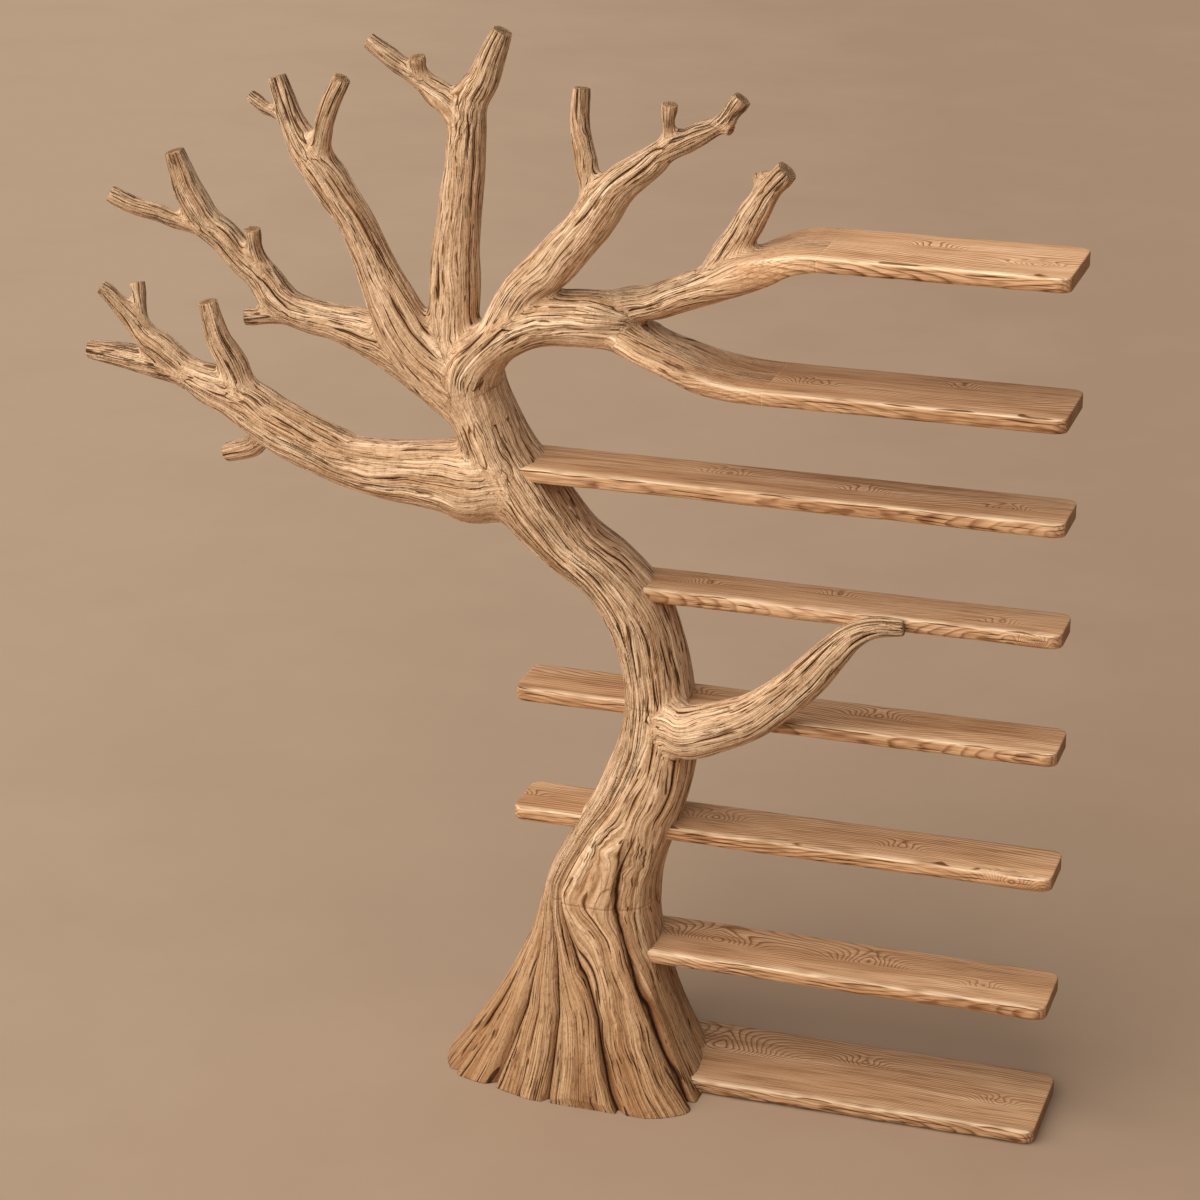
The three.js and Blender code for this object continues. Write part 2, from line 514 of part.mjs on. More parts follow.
const twigs = {
  low_left_stub: {
    on: 'low_left_limb', fromShare: 0.542, reach: -122, rise: -85, lean: 34, girth: 24,
    shares: [[0, 0, 0, 1, 1], [0.42, 0.64, 0.4, 0.875, 1], [1, 1, 1, 0.71, 1]],
  },
  rising_twig: {
    on: 'low_left_limb', fromShare: 0.622, reach: -60, rise: 205, lean: -26, girth: 34,
    shares: [[0, 0, 0, 1, 1], [0.34, 0.365, 0.3, 0.855, 1], [0.715, 0.61, 0.7, 0.705, 1],
      [0.91, 0.85, 0.9, 0.56, 1], [1, 1, 1, 0.5, 1]],
  },
  left_fork: {
    on: 'low_left_limb', fromShare: 0.75, reach: -182, rise: 172, lean: -20, girth: 30,
    shares: [[0, 0, 0, 1, 1], [0.17, 0.155, 0.2, 1, 1], [0.36, 0.315, 0.3, 0.965, 1], [0.52, 0.445, 0.5, 0.9, 1],
      [0.705, 0.705, 0.7, 0.7, 1], [0.915, 0.935, 0.9, 0.5, 1], [1, 1, 1, 0.435, 1]],
  },
  left_fork_twig: {
    on: 'left_fork', fromShare: 0.535, reach: -12, rise: 94, lean: 18, girth: 17,
    shares: [[0, 0, 0, 1, 1], [0.1, 0.405, 0.5, 0.88, 1], [0.7, 0.79, 0.8, 0.825, 1], [1, 1, 1, 0.825, 1]],
  },
  middle_left_stub: {
    on: 'middle_left_limb', fromShare: 0.527, reach: -100, rise: -16, lean: -22, girth: 25,
    shares: [[0, 0, 0, 1, 1], [0.36, 0.625, 0.4, 0.84, 1], [0.645, 0.805, 0.7, 0.68, 1], [1, 1, 1, 0.6, 1]],
  },
  middle_left_twig: {
    on: 'middle_left_limb', fromShare: 0.632, reach: -14, rise: 104, lean: -20, girth: 24,
    shares: [[0, 0, 0, 1, 1], [0.355, 0.34, 0.3, 0.835, 1], [0.945, 0.665, 0.7, 0.625, 1], [1, 1, 1, 0.625, 1]],
  },
  middle_left_fork: {
    on: 'middle_left_limb', fromShare: 0.805, reach: -198, rise: 59, lean: -34, girth: 22,
    shares: [[0, 0, 0, 1, 1], [0.165, 0.01, 0.2, 0.865, 1], [0.49, 0.37, 0.5, 0.725, 1],
      [0.755, 0.63, 0.8, 0.725, 1], [1, 1, 1, 0.68, 1]],
  },
  upper_left_twig: {
    on: 'upper_left_limb', fromShare: 0.837, reach: -109, rise: 68, lean: 22, girth: 18,
    shares: [[0, 0, 0, 1, 1], [0.26, 0.44, 0.3, 0.835, 1], [0.685, 0.715, 0.7, 0.72, 1], [1, 1, 1, 0.61, 1]],
  },
  upper_left_fork: {
    on: 'upper_left_limb', fromShare: 0.77, reach: 75, rise: 167, lean: -28, girth: 27,
    shares: [[0, 0, 0, 1, 1], [0.235, 0.18, 0.3, 0.85, 1], [0.36, 0.4, 0.5, 0.63, 1], [0.66, 0.725, 0.8, 0.595, 1],
      [1, 1, 1, 0.555, 1]],
  },
  top_branch: {
    on: 'top_limb', fromShare: 0.735, reach: -189, rise: 146, lean: -20, girth: 32,
    shares: [[0, 0, 0, 1, 1], [0.17, 0.235, 0.3, 0.905, 1], [0.38, 0.45, 0.6, 0.75, 1], [0.655, 0.69, 0.8, 0.565, 1],
      [1, 1, 1, 0.44, 1]],
  },
  top_bud: {
    on: 'top_branch', fromShare: 0.468, reach: -6, rise: 48, lean: -14, girth: 18,
    shares: [[0, 0, 0, 1, 1], [0.635, 0.455, 0.5, 0.89, 1], [1, 1, 1, 0.835, 1]],
  },
  top_right_twig: {
    on: 'top_right_limb', fromShare: 0.535, reach: -27, rise: 246, lean: 26, girth: 29,
    shares: [[0, 0, 0, 1, 1], [0.03, 0.23, 0.2, 0.83, 1], [0.49, 0.43, 0.5, 0.69, 1], [1.07, 0.71, 0.8, 0.585, 1],
      [1, 1, 1, 0.515, 1]],
  },
  top_right_spur: {
    on: 'top_right_limb', fromShare: 0.775, reach: 18, rise: 94, lean: -18, girth: 18,
    shares: [[0, 0, 0, 1, 1], [0.565, 0.33, 0.4, 0.78, 1], [0.85, 0.66, 0.7, 0.72, 1], [1, 1, 1, 0.78, 1]],
  },
  top_right_bud: {
    on: 'top_right_limb', fromShare: 0.92, reach: 26, rise: -6, lean: -10, girth: 12,
    shares: [[0, 0, 0, 1, 1], [0.53, 0.285, 0.5, 0.915, 1], [1, 1, 1, 0.835, 1]],
  },
  arm_twig: {
    on: 'upper_arm', fromShare: 0.45, reach: 134, rise: 226, lean: -14, girth: 36,
    shares: [[0, 0, 0, 1.15, 1], [0.1, 0.17, 0.1, 1, 1], [0.34, 0.41, 0.4, 0.82, 1], [0.56, 0.66, 0.7, 0.72, 1],
      [0.74, 0.83, 0.8, 0.66, 1], [1, 1, 1, 0.54, 1]],
  },
  arm_bud: {
    on: 'arm_twig', fromShare: 0.76, reach: -16, rise: 36, lean: 10, girth: 15,
    shares: [[0, 0, 0, 1, 1], [0.53, 0.49, 0.5, 0.935, 1], [1, 1, 1, 0.865, 1]],
  },
};

// The arms run from the arch's end to a board's left end, and flatten to the board's own section.
// Each row of shares: place along the arm, of its fall or rise, half thickness, half depth, squareness.
const arms = {
  upper_arm: {
    shelf: 'shelf_1', hosts: ['arch_limb'], lift: 26, inset: 22, backStep: 42, thick: 32,
    shares: [
      [0, 0, 1, 0.4, 0], [0.13, 0.06, 1, 0.42, 0], [0.33, 0.29, 1.08, 0.48, 0.05],
      [0.48, 0.46, 1.1, 0.6, 0.15], [0.62, 0.64, 1.05, 0.76, 0.4], [0.76, 0.82, 0.86, 0.9, 0.7],
      [0.88, 0.95, 0.6, 0.98, 0.9], [1, 1, 0.47, 1, 1],
    ],
  },
  lower_arm: {
    shelf: 'shelf_2', hosts: ['arch_limb', 'upper_arm'], lift: -28, inset: 22, backStep: 0, thick: 33,
    shares: [
      [0, 0, 1, 0.62, 0], [0.1, 0.08, 0.9, 0.8, 0.05], [0.24, 0.3, 0.75, 0.92, 0.2],
      [0.41, 0.57, 0.64, 0.96, 0.4], [0.59, 0.83, 0.55, 0.98, 0.7], [0.79, 0.965, 0.48, 1, 0.9],
      [1, 1, 0.4545, 1, 1],
    ],
  },
};
const roundSquareness = 2.2;
const boardSquareness = 9;

const timbers = { trunk: trunkTimber };
const clearSolid = new Map([['trunk', trunkClear]]);

// How far a limb goes from its root: to the front edge of the shelf that it meets, or by its own values
function limbSpan(spec, root) {
  if (!spec.meets) return vector(spec.reach, spec.lean, spec.rise);
  const shelf = shelves[spec.meets.shelf];
  return vector(spec.meets.along, shelfFront(shelf) - spec.meets.inset, shelfMiddle(shelf)).sub(root);
}

function growLimb(name, spec, material) {
  const host = timbers[spec.on].curve;
  const root = host.getPointAt(spec.fromShare);
  const span = limbSpan(spec, root);
  const rows = spec.shares;
  const timber = new Timber(
    rows.map(([out, up, away]) => root.clone().add(vector(out, away, up).multiply(span))),
    (place, clearance) => {
      const half = spec.girth * readColumn(rows, 3, place);
      const depth = half * readColumn(rows, 4, place);
      const sides = spec.hosts ? limbSides : twigSides;
      return Array.from({ length: sides }, (unused, side) => superPoint(
        (side + 1 / 2) / sides * Math.PI * 2,
        half + clearance,
        depth + clearance,
        spec.squareness ?? 2,
      ));
    },
    (place) => {
      const half = spec.girth * readColumn(rows, 3, place);
      return new THREE.Vector2(half, half * readColumn(rows, 4, place));
    },
  );
  timbers[name] = timber;
  clearSolid.set(name, timber.solid(jointGap));
  keep(name, timber.solid(0), material);
}

// Where a timber's middle line comes out of the timbers that carry it
function seatOf(name, hosts) {
  const curve = timbers[name].curve;
  const length = curve.getLength();
  let along = 0;
  const covered = (at) => hosts.some((host) => timbers[host].covers(curve.getPointAt(at / length)));
  while (along < length / 2 && covered(along)) along += searchStep;
  return { centre: curve.getPointAt(along / length), along: curve.getTangentAt(along / length) };
}

// A dowel across a joint is bored into every timber that it passes through
function addDowel(name, centre, direction, size, bored, material) {
  keep(name, rod(centre, direction, size.radius, size.length), material);
  const bore = rod(centre, direction, size.radius + jointGap, size.length + jointGap * 2);
  for (const timber of bored) cut(timber, bore);
}

for (const [name, spec] of Object.entries(limbs)) {
  growLimb(name, spec, wood.limb);
  for (const host of spec.hosts) cut(name, clearSolid.get(host));
}
cut('brace_limb', shelfSolid(shelves.shelf_4, jointGap));
cut('brace_limb', shelfSolid(shelves.shelf_5, jointGap));
cut('low_left_limb', shelfSolid(shelves.shelf_3, jointGap));

// Arms

function growArm(name, spec) {
  const arch = timbers.arch_limb.curve.getPoint(1);
  const shelf = shelves[spec.shelf];
  const halfDepth = shelf.depth / 2;
  const start = vector(arch.x - spec.inset, arch.y, arch.z + spec.lift);
  const end = vector(shelf.start - jointGap, backPlane - halfDepth, shelfMiddle(shelf));
  const rows = spec.shares;
  const reach = end.clone().sub(start);
  const halfDepthAt = (place) => halfDepth * readColumn(rows, 3, place);
  const back = (place) => backPlane - spec.backStep * (1 - readColumn(rows, 3, place));
  const timber = new Timber(
    rows.map(([out, up], row) => {
      const place = row / (rows.length - 1);
      return vector(start.x + out * reach.x, back(place) - halfDepthAt(place), start.z + up * reach.z);
    }),
    (place, clearance) => {
      const squareness = THREE.MathUtils.lerp(roundSquareness, boardSquareness, readColumn(rows, 4, place));
      const sides = limbSides + limbSides / 3;
      return Array.from({ length: sides }, (unused, side) => superPoint(
        (side + 1 / 2) / sides * Math.PI * 2,
        spec.thick * readColumn(rows, 2, place) + clearance,
        halfDepthAt(place) + clearance,
        squareness,
      ));
    },
    (place) => new THREE.Vector2(spec.thick * readColumn(rows, 2, place), halfDepthAt(place)),
  );
  timbers[name] = timber;
  clearSolid.set(name, timber.solid(jointGap));
  const space = block(vector(-shelf.end, -shelf.end, 0), vector(end.x, backPlane, shelf.top + trunk.crownHeight));
  keep(name, timber.solid(0).intersect(space), wood.limb);
}

for (const [name, spec] of Object.entries(arms)) {
  growArm(name, spec);
  for (const host of spec.hosts) cut(name, clearSolid.get(host));
}

for (const [name, spec] of Object.entries(limbs)) {
  const seat = seatOf(name, spec.hosts);
  const hosts = spec.hosts.filter((host) => host !== 'trunk');
  const bored = [name, 'upper_trunk', 'lower_trunk', ...hosts, ...(spec.crosses ?? [])];
  seat.centre.addScaledVector(seat.along, spec.dowelOut ?? 0);
  seat.centre.z -= spec.dowelDrop ?? 0;
  addDowel(name.replace('limb', 'dowel'), seat.centre, seat.along, limbDowel, bored, wood.dowel);
}
for (const [name, spec] of Object.entries(arms)) {
  const seat = seatOf(name, spec.hosts);
  addDowel(`${name}_dowel`, seat.centre, seat.along, armDowel, [name, ...spec.hosts], wood.dowel);
}

// Twigs: each has a turned tenon that seats in the limb that carries it

for (const [name, spec] of Object.entries(twigs)) {
  growLimb(name, spec, wood.limb);
  cut(name, clearSolid.get(spec.on));
  const seat = seatOf(name, [spec.on]);
  const radius = spec.girth * tenonGirthShare;
  const depth = spec.girth * tenonDepthShare;
  const inside = spec.girth * tenonInsideShare;
  const centre = seat.centre.clone().addScaledVector(seat.along, (inside - depth) / 2);
  const tenon = rod(centre, seat.along, radius, depth + inside);
  const socket = rod(centre, seat.along, radius + jointGap, depth + inside + jointGap * 2);
  cut(spec.on, socket);
  solids.set(name, solids.get(name).add(tenon));
}

// Trunk dowels stand across the two seams; the upper one passes through the fifth shelf
const lowerSeat = trunkAt(trunk.flareHeight);
const upperSeat = trunkAt(shelfMiddle(shelves.shelf_5));
const upright = vector(0, 0, 1);
const dowelDepth = backPlane - shelves.shelf_5.depth * trunkDowel.backShare;
const lowerRoom = shelves.shelf_6.top - board.thickness - trunk.flareHeight;
const lowerDowel = { radius: trunkDowel.radius, length: lowerRoom * trunkDowel.seamShare * 2 };
addDowel('lower_trunk_dowel', vector(lowerSeat.x, dowelDepth, lowerSeat.z),
  upright, lowerDowel, ['root_flare', 'lower_trunk'], wood.dowel);
addDowel('upper_trunk_dowel', vector(upperSeat.x, dowelDepth, upperSeat.z),
  upright, trunkDowel, ['lower_trunk', 'upper_trunk', 'shelf_5'], wood.dowel);

// A peg from behind through each board that passes behind the trunk
for (const name of throughShelves) {
  const shelf = shelves[name];
  const seat = trunkAt(shelfMiddle(shelf));
  const length = shelf.depth + peg.bite;
  const side = name === 'shelf_5' ? trunkDowel.radius + peg.radius + peg.drop : 0;
  const centre = vector(seat.x - side, backPlane - jointGap - length / 2, shelfMiddle(shelf));
  const size = { radius: peg.radius, length };
  addDowel(`${name}_peg`, centre, vector(0, 1, 0), size, [name, 'lower_trunk'], wood.dowel);
  cut(name, rod(centre.clone().setY(backPlane), vector(0, 1, 0), peg.radius + jointGap, peg.bite));
}

// A flat steel bar half in the trunk and half in each board that butts against it
function flatTie(centre, size, clearance) {
  const half = vector(size.length, size.width, size.thickness).multiplyScalar(1 / 2).addScalar(clearance);
  return block(centre.clone().sub(half), centre.clone().add(half));
}

function addTie(name, centre, size, bored, material) {
  keep(name, flatTie(centre, size, 0), material);
  for (const piece of bored) cut(piece, flatTie(centre, size, jointGap));
}

for (const name of buttShelves) {
  const shelf = shelves[name];
  const depth = backPlane - shelfBar.back;
  let edge = trunkAt(shelfMiddle(shelf)).x;
  while (edge < shelf.end && trunkTimber.covers(vector(edge, depth, shelfMiddle(shelf)))) edge += searchStep;
  const host = shelf.top < trunk.flareHeight ? 'root_flare' : 'upper_trunk';
  addTie(`${name}_bar`, vector(edge, depth, shelfMiddle(shelf)), shelfBar, [name, host], wood.steel);
}

// A loose tenon from each arm into its board
for (const [name, spec] of Object.entries(arms)) {
  const shelf = shelves[spec.shelf];
  const centre = vector(shelf.start, backPlane - shelf.depth / 2, shelfMiddle(shelf));
  addTie(`${spec.shelf}_loose_tenon`, centre, looseTenon, [name, spec.shelf], wood.dowel);
}

// A pin up from the brace into the fourth shelf
const braceHead = timbers.brace_limb.curve.getPoint(bracePin.placeShare);
const pinTop = shelves.shelf_4.top - board.thickness + bracePin.sink;
addDowel('brace_pin',
  vector(braceHead.x, shelfFront(shelves.shelf_4) + bracePin.inset, pinTop - bracePin.length / 2),
  upright, bracePin, ['brace_limb', 'shelf_4'], wood.dowel);

for (const [name, solid] of solids) {
  const mesh = new THREE.Mesh(toGeometry(solid), finish.get(name));
  mesh.name = name;
  model.add(mesh);
}

export default model;
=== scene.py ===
"""Dresses the tree shaped bookshelf: carved driftwood timber, live-edge boards, joinery and a studio."""
import json
import math

import bmesh
import bpy
import numpy as np
from mathutils import Matrix, Vector

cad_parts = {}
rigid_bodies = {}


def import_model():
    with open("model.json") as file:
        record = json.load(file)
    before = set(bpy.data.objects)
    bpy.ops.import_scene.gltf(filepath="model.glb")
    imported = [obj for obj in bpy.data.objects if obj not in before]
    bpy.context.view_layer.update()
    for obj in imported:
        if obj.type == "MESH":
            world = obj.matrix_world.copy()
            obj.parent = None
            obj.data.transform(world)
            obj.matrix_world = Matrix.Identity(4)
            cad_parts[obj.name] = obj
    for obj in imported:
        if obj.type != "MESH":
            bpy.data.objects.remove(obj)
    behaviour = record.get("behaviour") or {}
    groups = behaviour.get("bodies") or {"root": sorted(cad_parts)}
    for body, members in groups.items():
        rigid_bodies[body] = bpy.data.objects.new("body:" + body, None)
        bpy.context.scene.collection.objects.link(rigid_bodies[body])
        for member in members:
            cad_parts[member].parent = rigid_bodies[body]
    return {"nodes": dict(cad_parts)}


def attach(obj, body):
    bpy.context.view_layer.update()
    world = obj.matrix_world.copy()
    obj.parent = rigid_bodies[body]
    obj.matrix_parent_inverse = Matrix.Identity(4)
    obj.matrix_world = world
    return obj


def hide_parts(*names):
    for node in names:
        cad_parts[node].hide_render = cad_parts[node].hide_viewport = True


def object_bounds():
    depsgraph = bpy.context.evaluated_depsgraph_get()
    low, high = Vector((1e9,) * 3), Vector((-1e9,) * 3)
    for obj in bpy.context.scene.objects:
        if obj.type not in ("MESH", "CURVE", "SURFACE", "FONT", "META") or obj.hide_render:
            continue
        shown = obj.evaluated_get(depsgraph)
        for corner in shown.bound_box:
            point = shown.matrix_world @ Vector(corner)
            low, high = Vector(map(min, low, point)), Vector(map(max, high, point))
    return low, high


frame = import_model()
nodes = frame["nodes"]
cad_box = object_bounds()

MM = 0.001
FULL_TURN = 2 * math.pi


def new_object(name, data):
    thing = bpy.data.objects.new(name, data)
    bpy.context.scene.collection.objects.link(thing)
    return thing


def baked(shape, name):
    """Turns a worked shape into a mesh"""
    mesh = bpy.data.meshes.new(name)
    shape.to_mesh(mesh)
    shape.free()
    return mesh


# Camera

CAMERA_PLACE = (1.86075, -5.60333, 3.29317)
CAMERA_TARGET = (-0.030, 0.190, 0.938)
CAMERA_LENS = 98.0
CAMERA_REACH = 200.0
SENSOR_WIDTH = 36.0


def place_looking_at(thing, place, target):
    """Puts a camera or lamp at a place and turns it towards a target"""
    thing.location = place
    thing.rotation_euler = (Vector(target) - Vector(place)).to_track_quat("-Z", "Y").to_euler()


def add_camera():
    camera = new_object("camera", bpy.data.cameras.new("camera"))
    camera.data.lens = CAMERA_LENS
    camera.data.sensor_width = SENSOR_WIDTH
    camera.data.clip_end = CAMERA_REACH
    place_looking_at(camera, CAMERA_PLACE, CAMERA_TARGET)
    bpy.context.scene.camera = camera


add_camera()

# Sizes shared with the solids, in millimetres

BACK_PLANE = 190.0
CROWN_HEIGHT = 1430.0
TRUNK_LEAN = 270.0
TRUNK_GIRTH = 117.0
TRUNK_DEPTH = 194.0
FLARE_HEIGHT = 350.0
FOOT_REACH = 285.0
BACK_TRIM = 9.0
TRUNK_SQUARENESS = 2.7
FLARE_FALL = 1.8
LOWER_SEAM = 350.0
UPPER_SEAM = 785.3

# Each row: place along the lean, height, half width, front edge pulled back from the full depth
TRUNK_ROWS = [
    (0, -0.06, 1, 0), (0, 0.05, 1, 0), (0.005, 0.15, 1, 0), (0.03, 0.24, 0.98, 0),
    (0.155, 0.318, 0.82, 0.03), (0.315, 0.39, 0.745, 0.05), (0.435, 0.466, 0.66, 0.08),
    (0.455, 0.54, 0.535, 0.1), (0.41, 0.603, 0.49, 0.1), (0.275, 0.675, 0.46, 0.09),
    (0.06, 0.725, 0.4, 0.09), (-0.22, 0.762, 0.42, 0.08), (-0.44, 0.804, 0.5, 0.07),
    (-0.6, 0.838, 0.53, 0.09), (-0.755, 0.878, 0.48, 0.12), (-0.865, 0.918, 0.47, 0.15),
    (-0.965, 0.962, 0.46, 0.19), (-1, 1, 0.42, 0.24),
]
# How far the foot reaches: angle on the floor, share of the full reach
FOOT_ROWS = [
    (-180, 0.99), (-167, 1.0), (-152, 0.97), (-133.5, 0.76), (-118, 0.7), (-96, 0.68), (-74, 0.75),
    (-55, 0.83), (-41, 0.97), (-27, 1.06), (-22.5, 1.0), (-11, 0.95), (12, 0.9), (42, 0.95),
    (90, 0.75), (138, 0.98), (160, 0.95), (180, 0.99),
]

# Flutes: angle on the floor, and rows of (height, depth, half width)
FLUTES = [
    (-152, [(0, 14, 7), (120, 9, 5), (260, 0, 4)]),
    (-133.5, [(0, 24, 8), (140, 20, 7), (260, 12, 5), (370, 0, 4)]),
    (-96, [(0, 24, 8), (145, 21, 7), (268, 13, 6), (360, 5, 5), (430, 0, 4)]),
    (-55, [(0, 28, 9), (200, 26, 8), (350, 18, 7), (480, 12, 5), (690, 0, 4)]),
    (-22.5, [(0, 26, 8), (240, 21, 7), (380, 12, 6), (560, 0, 4)]),
    (12, [(0, 14, 7), (160, 8, 6), (320, 0, 4)]),
]
# The flutes and the grain swing round as they rise: height against 560, then each flute's angle
SWING_HEIGHT = 560.0
SWING_ROWS = [
    (0, -152, -133.5, -96, -55, -22.5, 12), (0.25, -152, -134, -101, -73, -30, 10),
    (0.48, -155, -140, -117, -101, -48, 4), (0.64, -159, -149, -138, -126, -66, -2),
    (0.78, -159, -149, -136, -122, -75, -5), (1.02, -155, -143, -125, -105, -76, -5),
    (2.4, -152, -133.5, -96, -55, -22.5, 12),
]

# Boards: top, depth, right end and left end; no left end means that the board starts inside the trunk
BOARD_THICKNESS = 30.0
BOARDS = {
    "shelf_1": (1742, 230, 918, 455), "shelf_2": (1471, 204, 919, 350), "shelf_3": (1254, 155, 918, None),
    "shelf_4": (1023, 128, 919, None), "shelf_5": (785, 137, 923, -290), "shelf_6": (525, 143, 927, -237),
    "shelf_7": (260, 169, 934, None), "shelf_8": (30, 250, 937, None),
}

# Limbs: host, place on it, reach, rise, lean, girth, squareness, rows of
# (along the reach, along the rise, along the lean, half width, depth against width)
LIMBS = {
    "brace_limb": ("trunk", 0.475, None, None, None, 58, 2.2, [
        (0, 0, 0, 1, 0.7), (0.06, 0.175, 1, 1.03, 0.7), (0.165, 0.185, 1.75, 0.93, 0.8),
        (0.29, 0.26, 2.1, 0.845, 0.85), (0.425, 0.355, 2.2, 0.76, 0.9), (0.52, 0.465, 2.15, 0.705, 0.95),
        (0.65, 0.655, 1.9, 0.64, 1), (0.735, 0.81, 1.55, 0.55, 1), (0.805, 0.92, 1.25, 0.45, 1),
        (0.885, 0.98, 1.05, 0.345, 1), (1, 1, 1, 0.26, 1)]),
    "arch_limb": ("trunk", 0.962, 319, 181, -2, 56, 2.3, [
        (0, 0, 0, 1, 1.3), (-0.015, 0.22, 0, 1.14, 1.25), (0.03, 0.44, 0, 0.965, 1.35),
        (0.13, 0.62, 0, 0.82, 1.45), (0.26, 0.79, 0, 0.805, 1.4), (0.405, 0.915, 0.2, 0.84, 1.3),
        (0.585, 0.99, 0.5, 0.93, 1.2), (0.835, 1.01, 0.8, 0.98, 1.2), (1, 1, 1, 1.07, 1.2)]),
    "top_right_limb": ("trunk", 0.968, 550, 627, -45, 50, 2.15, [
        (0, 0, 0, 0.86, 1.15), (0.045, 0.09, 0.1, 0.84, 1.15), (0.115, 0.215, 0.2, 0.8, 1.1),
        (0.21, 0.355, 0.3, 0.78, 1.1), (0.305, 0.43, 0.4, 0.87, 1.05), (0.375, 0.5, 0.5, 0.85, 1.05),
        (0.435, 0.56, 0.6, 0.8, 1), (0.48, 0.61, 0.7, 0.83, 1), (0.565, 0.71, 0.8, 0.68, 1),
        (0.665, 0.78, 0.8, 0.56, 1), (0.725, 0.825, 0.9, 0.5, 1), (0.83, 0.875, 0.9, 0.41, 1),
        (0.925, 0.92, 1, 0.36, 1), (1, 1, 1, 0.32, 1)]),
    "top_limb": ("trunk", 0.968, 72, 713, 14, 54, 2.2, [
        (0, 0, 0, 1, 1.15), (-0.27, 0.075, 0.3, 0.95, 1.1), (-0.49, 0.17, 0.6, 0.89, 1.1),
        (-0.49, 0.31, 0.9, 0.865, 1.05), (-0.485, 0.385, 1, 0.81, 1.05), (-0.375, 0.47, 1, 0.745, 1.05),
        (-0.285, 0.545, 1, 0.7, 1.05), (-0.17, 0.62, 0.9, 0.645, 1.05), (-0.09, 0.715, 0.7, 0.63, 1.05),
        (0.05, 0.81, 0.5, 0.61, 1), (0.44, 0.87, 0.4, 0.5, 1), (0.72, 0.94, 0.2, 0.415, 1),
        (1, 1, 0, 0.315, 1)]),
    "low_left_limb": ("trunk", 0.852, -911, 184, -30, 70, 2.3, [
        (0, 0, 0, 1, 1.1), (0.09, -0.055, 0, 1.14, 1.1), (0.15, -0.015, 0.1, 1.015, 1.05),
        (0.215, -0.005, 0.2, 0.9, 1), (0.285, 0, 0.4, 0.8, 1), (0.37, 0.05, 0.6, 0.7, 1),
        (0.435, 0.17, 0.8, 0.7, 1), (0.49, 0.295, 1, 0.7, 1), (0.555, 0.45, 1, 0.67, 1),
        (0.61, 0.625, 0.9, 0.63, 1), (0.69, 0.77, 0.8, 0.53, 1), (0.76, 0.87, 0.6, 0.43, 1),
        (0.84, 0.94, 0.4, 0.37, 1), (0.9, 0.97, 0.2, 0.33, 1), (1, 1, 0, 0.245, 1)]),
    "upper_left_limb": ("trunk", 0.95, -389, 631, -36, 54, 2.2, [
        (0, 0, 0, 1, 1.15), (0.135, 0.09, 0.2, 1, 1.1), (0.235, 0.15, 0.3, 1, 1.1),
        (0.34, 0.225, 0.4, 0.98, 1.05), (0.41, 0.31, 0.6, 0.87, 1.05), (0.475, 0.4, 0.7, 0.73, 1),
        (0.515, 0.465, 0.8, 0.65, 1), (0.59, 0.575, 1, 0.595, 1), (0.67, 0.645, 1, 0.61, 1),
        (0.745, 0.715, 1, 0.65, 1), (0.84, 0.785, 0.9, 0.61, 1), (0.905, 0.85, 0.8, 0.48, 1),
        (0.955, 0.92, 0.7, 0.39, 1), (1, 1, 0.6, 0.295, 1)]),
    "middle_left_limb": ("trunk", 0.935, -633, 487, 24, 56, 2.2, [
        (0, 0, 0, 1, 1.15), (0.105, 0.14, 0.1, 1.07, 1.1), (0.21, 0.23, 0.2, 1.02, 1.05),
        (0.29, 0.275, 0.4, 0.91, 1), (0.385, 0.31, 0.6, 0.77, 1), (0.49, 0.335, 0.8, 0.605, 1),
        (0.615, 0.36, 1, 0.59, 1), (0.685, 0.41, 1, 0.625, 1), (0.73, 0.49, 1, 0.605, 1),
        (0.8, 0.57, 0.9, 0.52, 1), (0.85, 0.64, 0.8, 0.52, 1), (0.905, 0.7, 0.6, 0.535, 1),
        (0.96, 0.825, 0.4, 0.48, 1), (0.98, 0.91, 0.2, 0.395, 1), (1, 1, 0, 0.305, 1)]),
}
# The brace ends at a board: how far along it, and how far behind its front edge
BRACE_MEETS = ("shelf_4", 620, 4)
# A short swelling where the crown's limbs leave the trunk, as a limb of its own
CROWN_SWELL = ("trunk", 0.93, -105, 190, -4, 60, 2.2, [
    (0, 0, 0, 1, 1), (0.3, 0.35, 0, 1, 1.05), (0.65, 0.7, 0, 0.8, 1.1), (1, 1, 0, 0.45, 1.1)])
CROWN_LIMBS = ("arch_limb", "top_right_limb", "top_limb", "upper_left_limb", "middle_left_limb")

# Arms: board, lift, inset, step from the back, thickness, rows of
# (along, fall or rise, half thickness, half depth, squareness)
ARMS = {
    "upper_arm": ("shelf_1", 26, 22, 42, 32, [
        (0, 0, 1, 0.4, 0), (0.13, 0.06, 1, 0.42, 0), (0.33, 0.29, 1.08, 0.48, 0.05),
        (0.48, 0.46, 1.1, 0.6, 0.15), (0.62, 0.64, 1.05, 0.76, 0.4), (0.76, 0.82, 0.86, 0.9, 0.7),
        (0.88, 0.95, 0.6, 0.98, 0.9), (1, 1, 0.47, 1, 1)]),
    "lower_arm": ("shelf_2", -28, 22, 0, 33, [
        (0, 0, 1, 0.62, 0), (0.1, 0.08, 0.9, 0.8, 0.05), (0.24, 0.3, 0.75, 0.92, 0.2),
        (0.41, 0.57, 0.64, 0.96, 0.4), (0.59, 0.83, 0.55, 0.98, 0.7), (0.79, 0.965, 0.48, 1, 0.9),
        (1, 1, 0.4545, 1, 1)]),
}
ROUND_SQUARENESS = 2.2
TWIG_SQUARENESS = 2.0
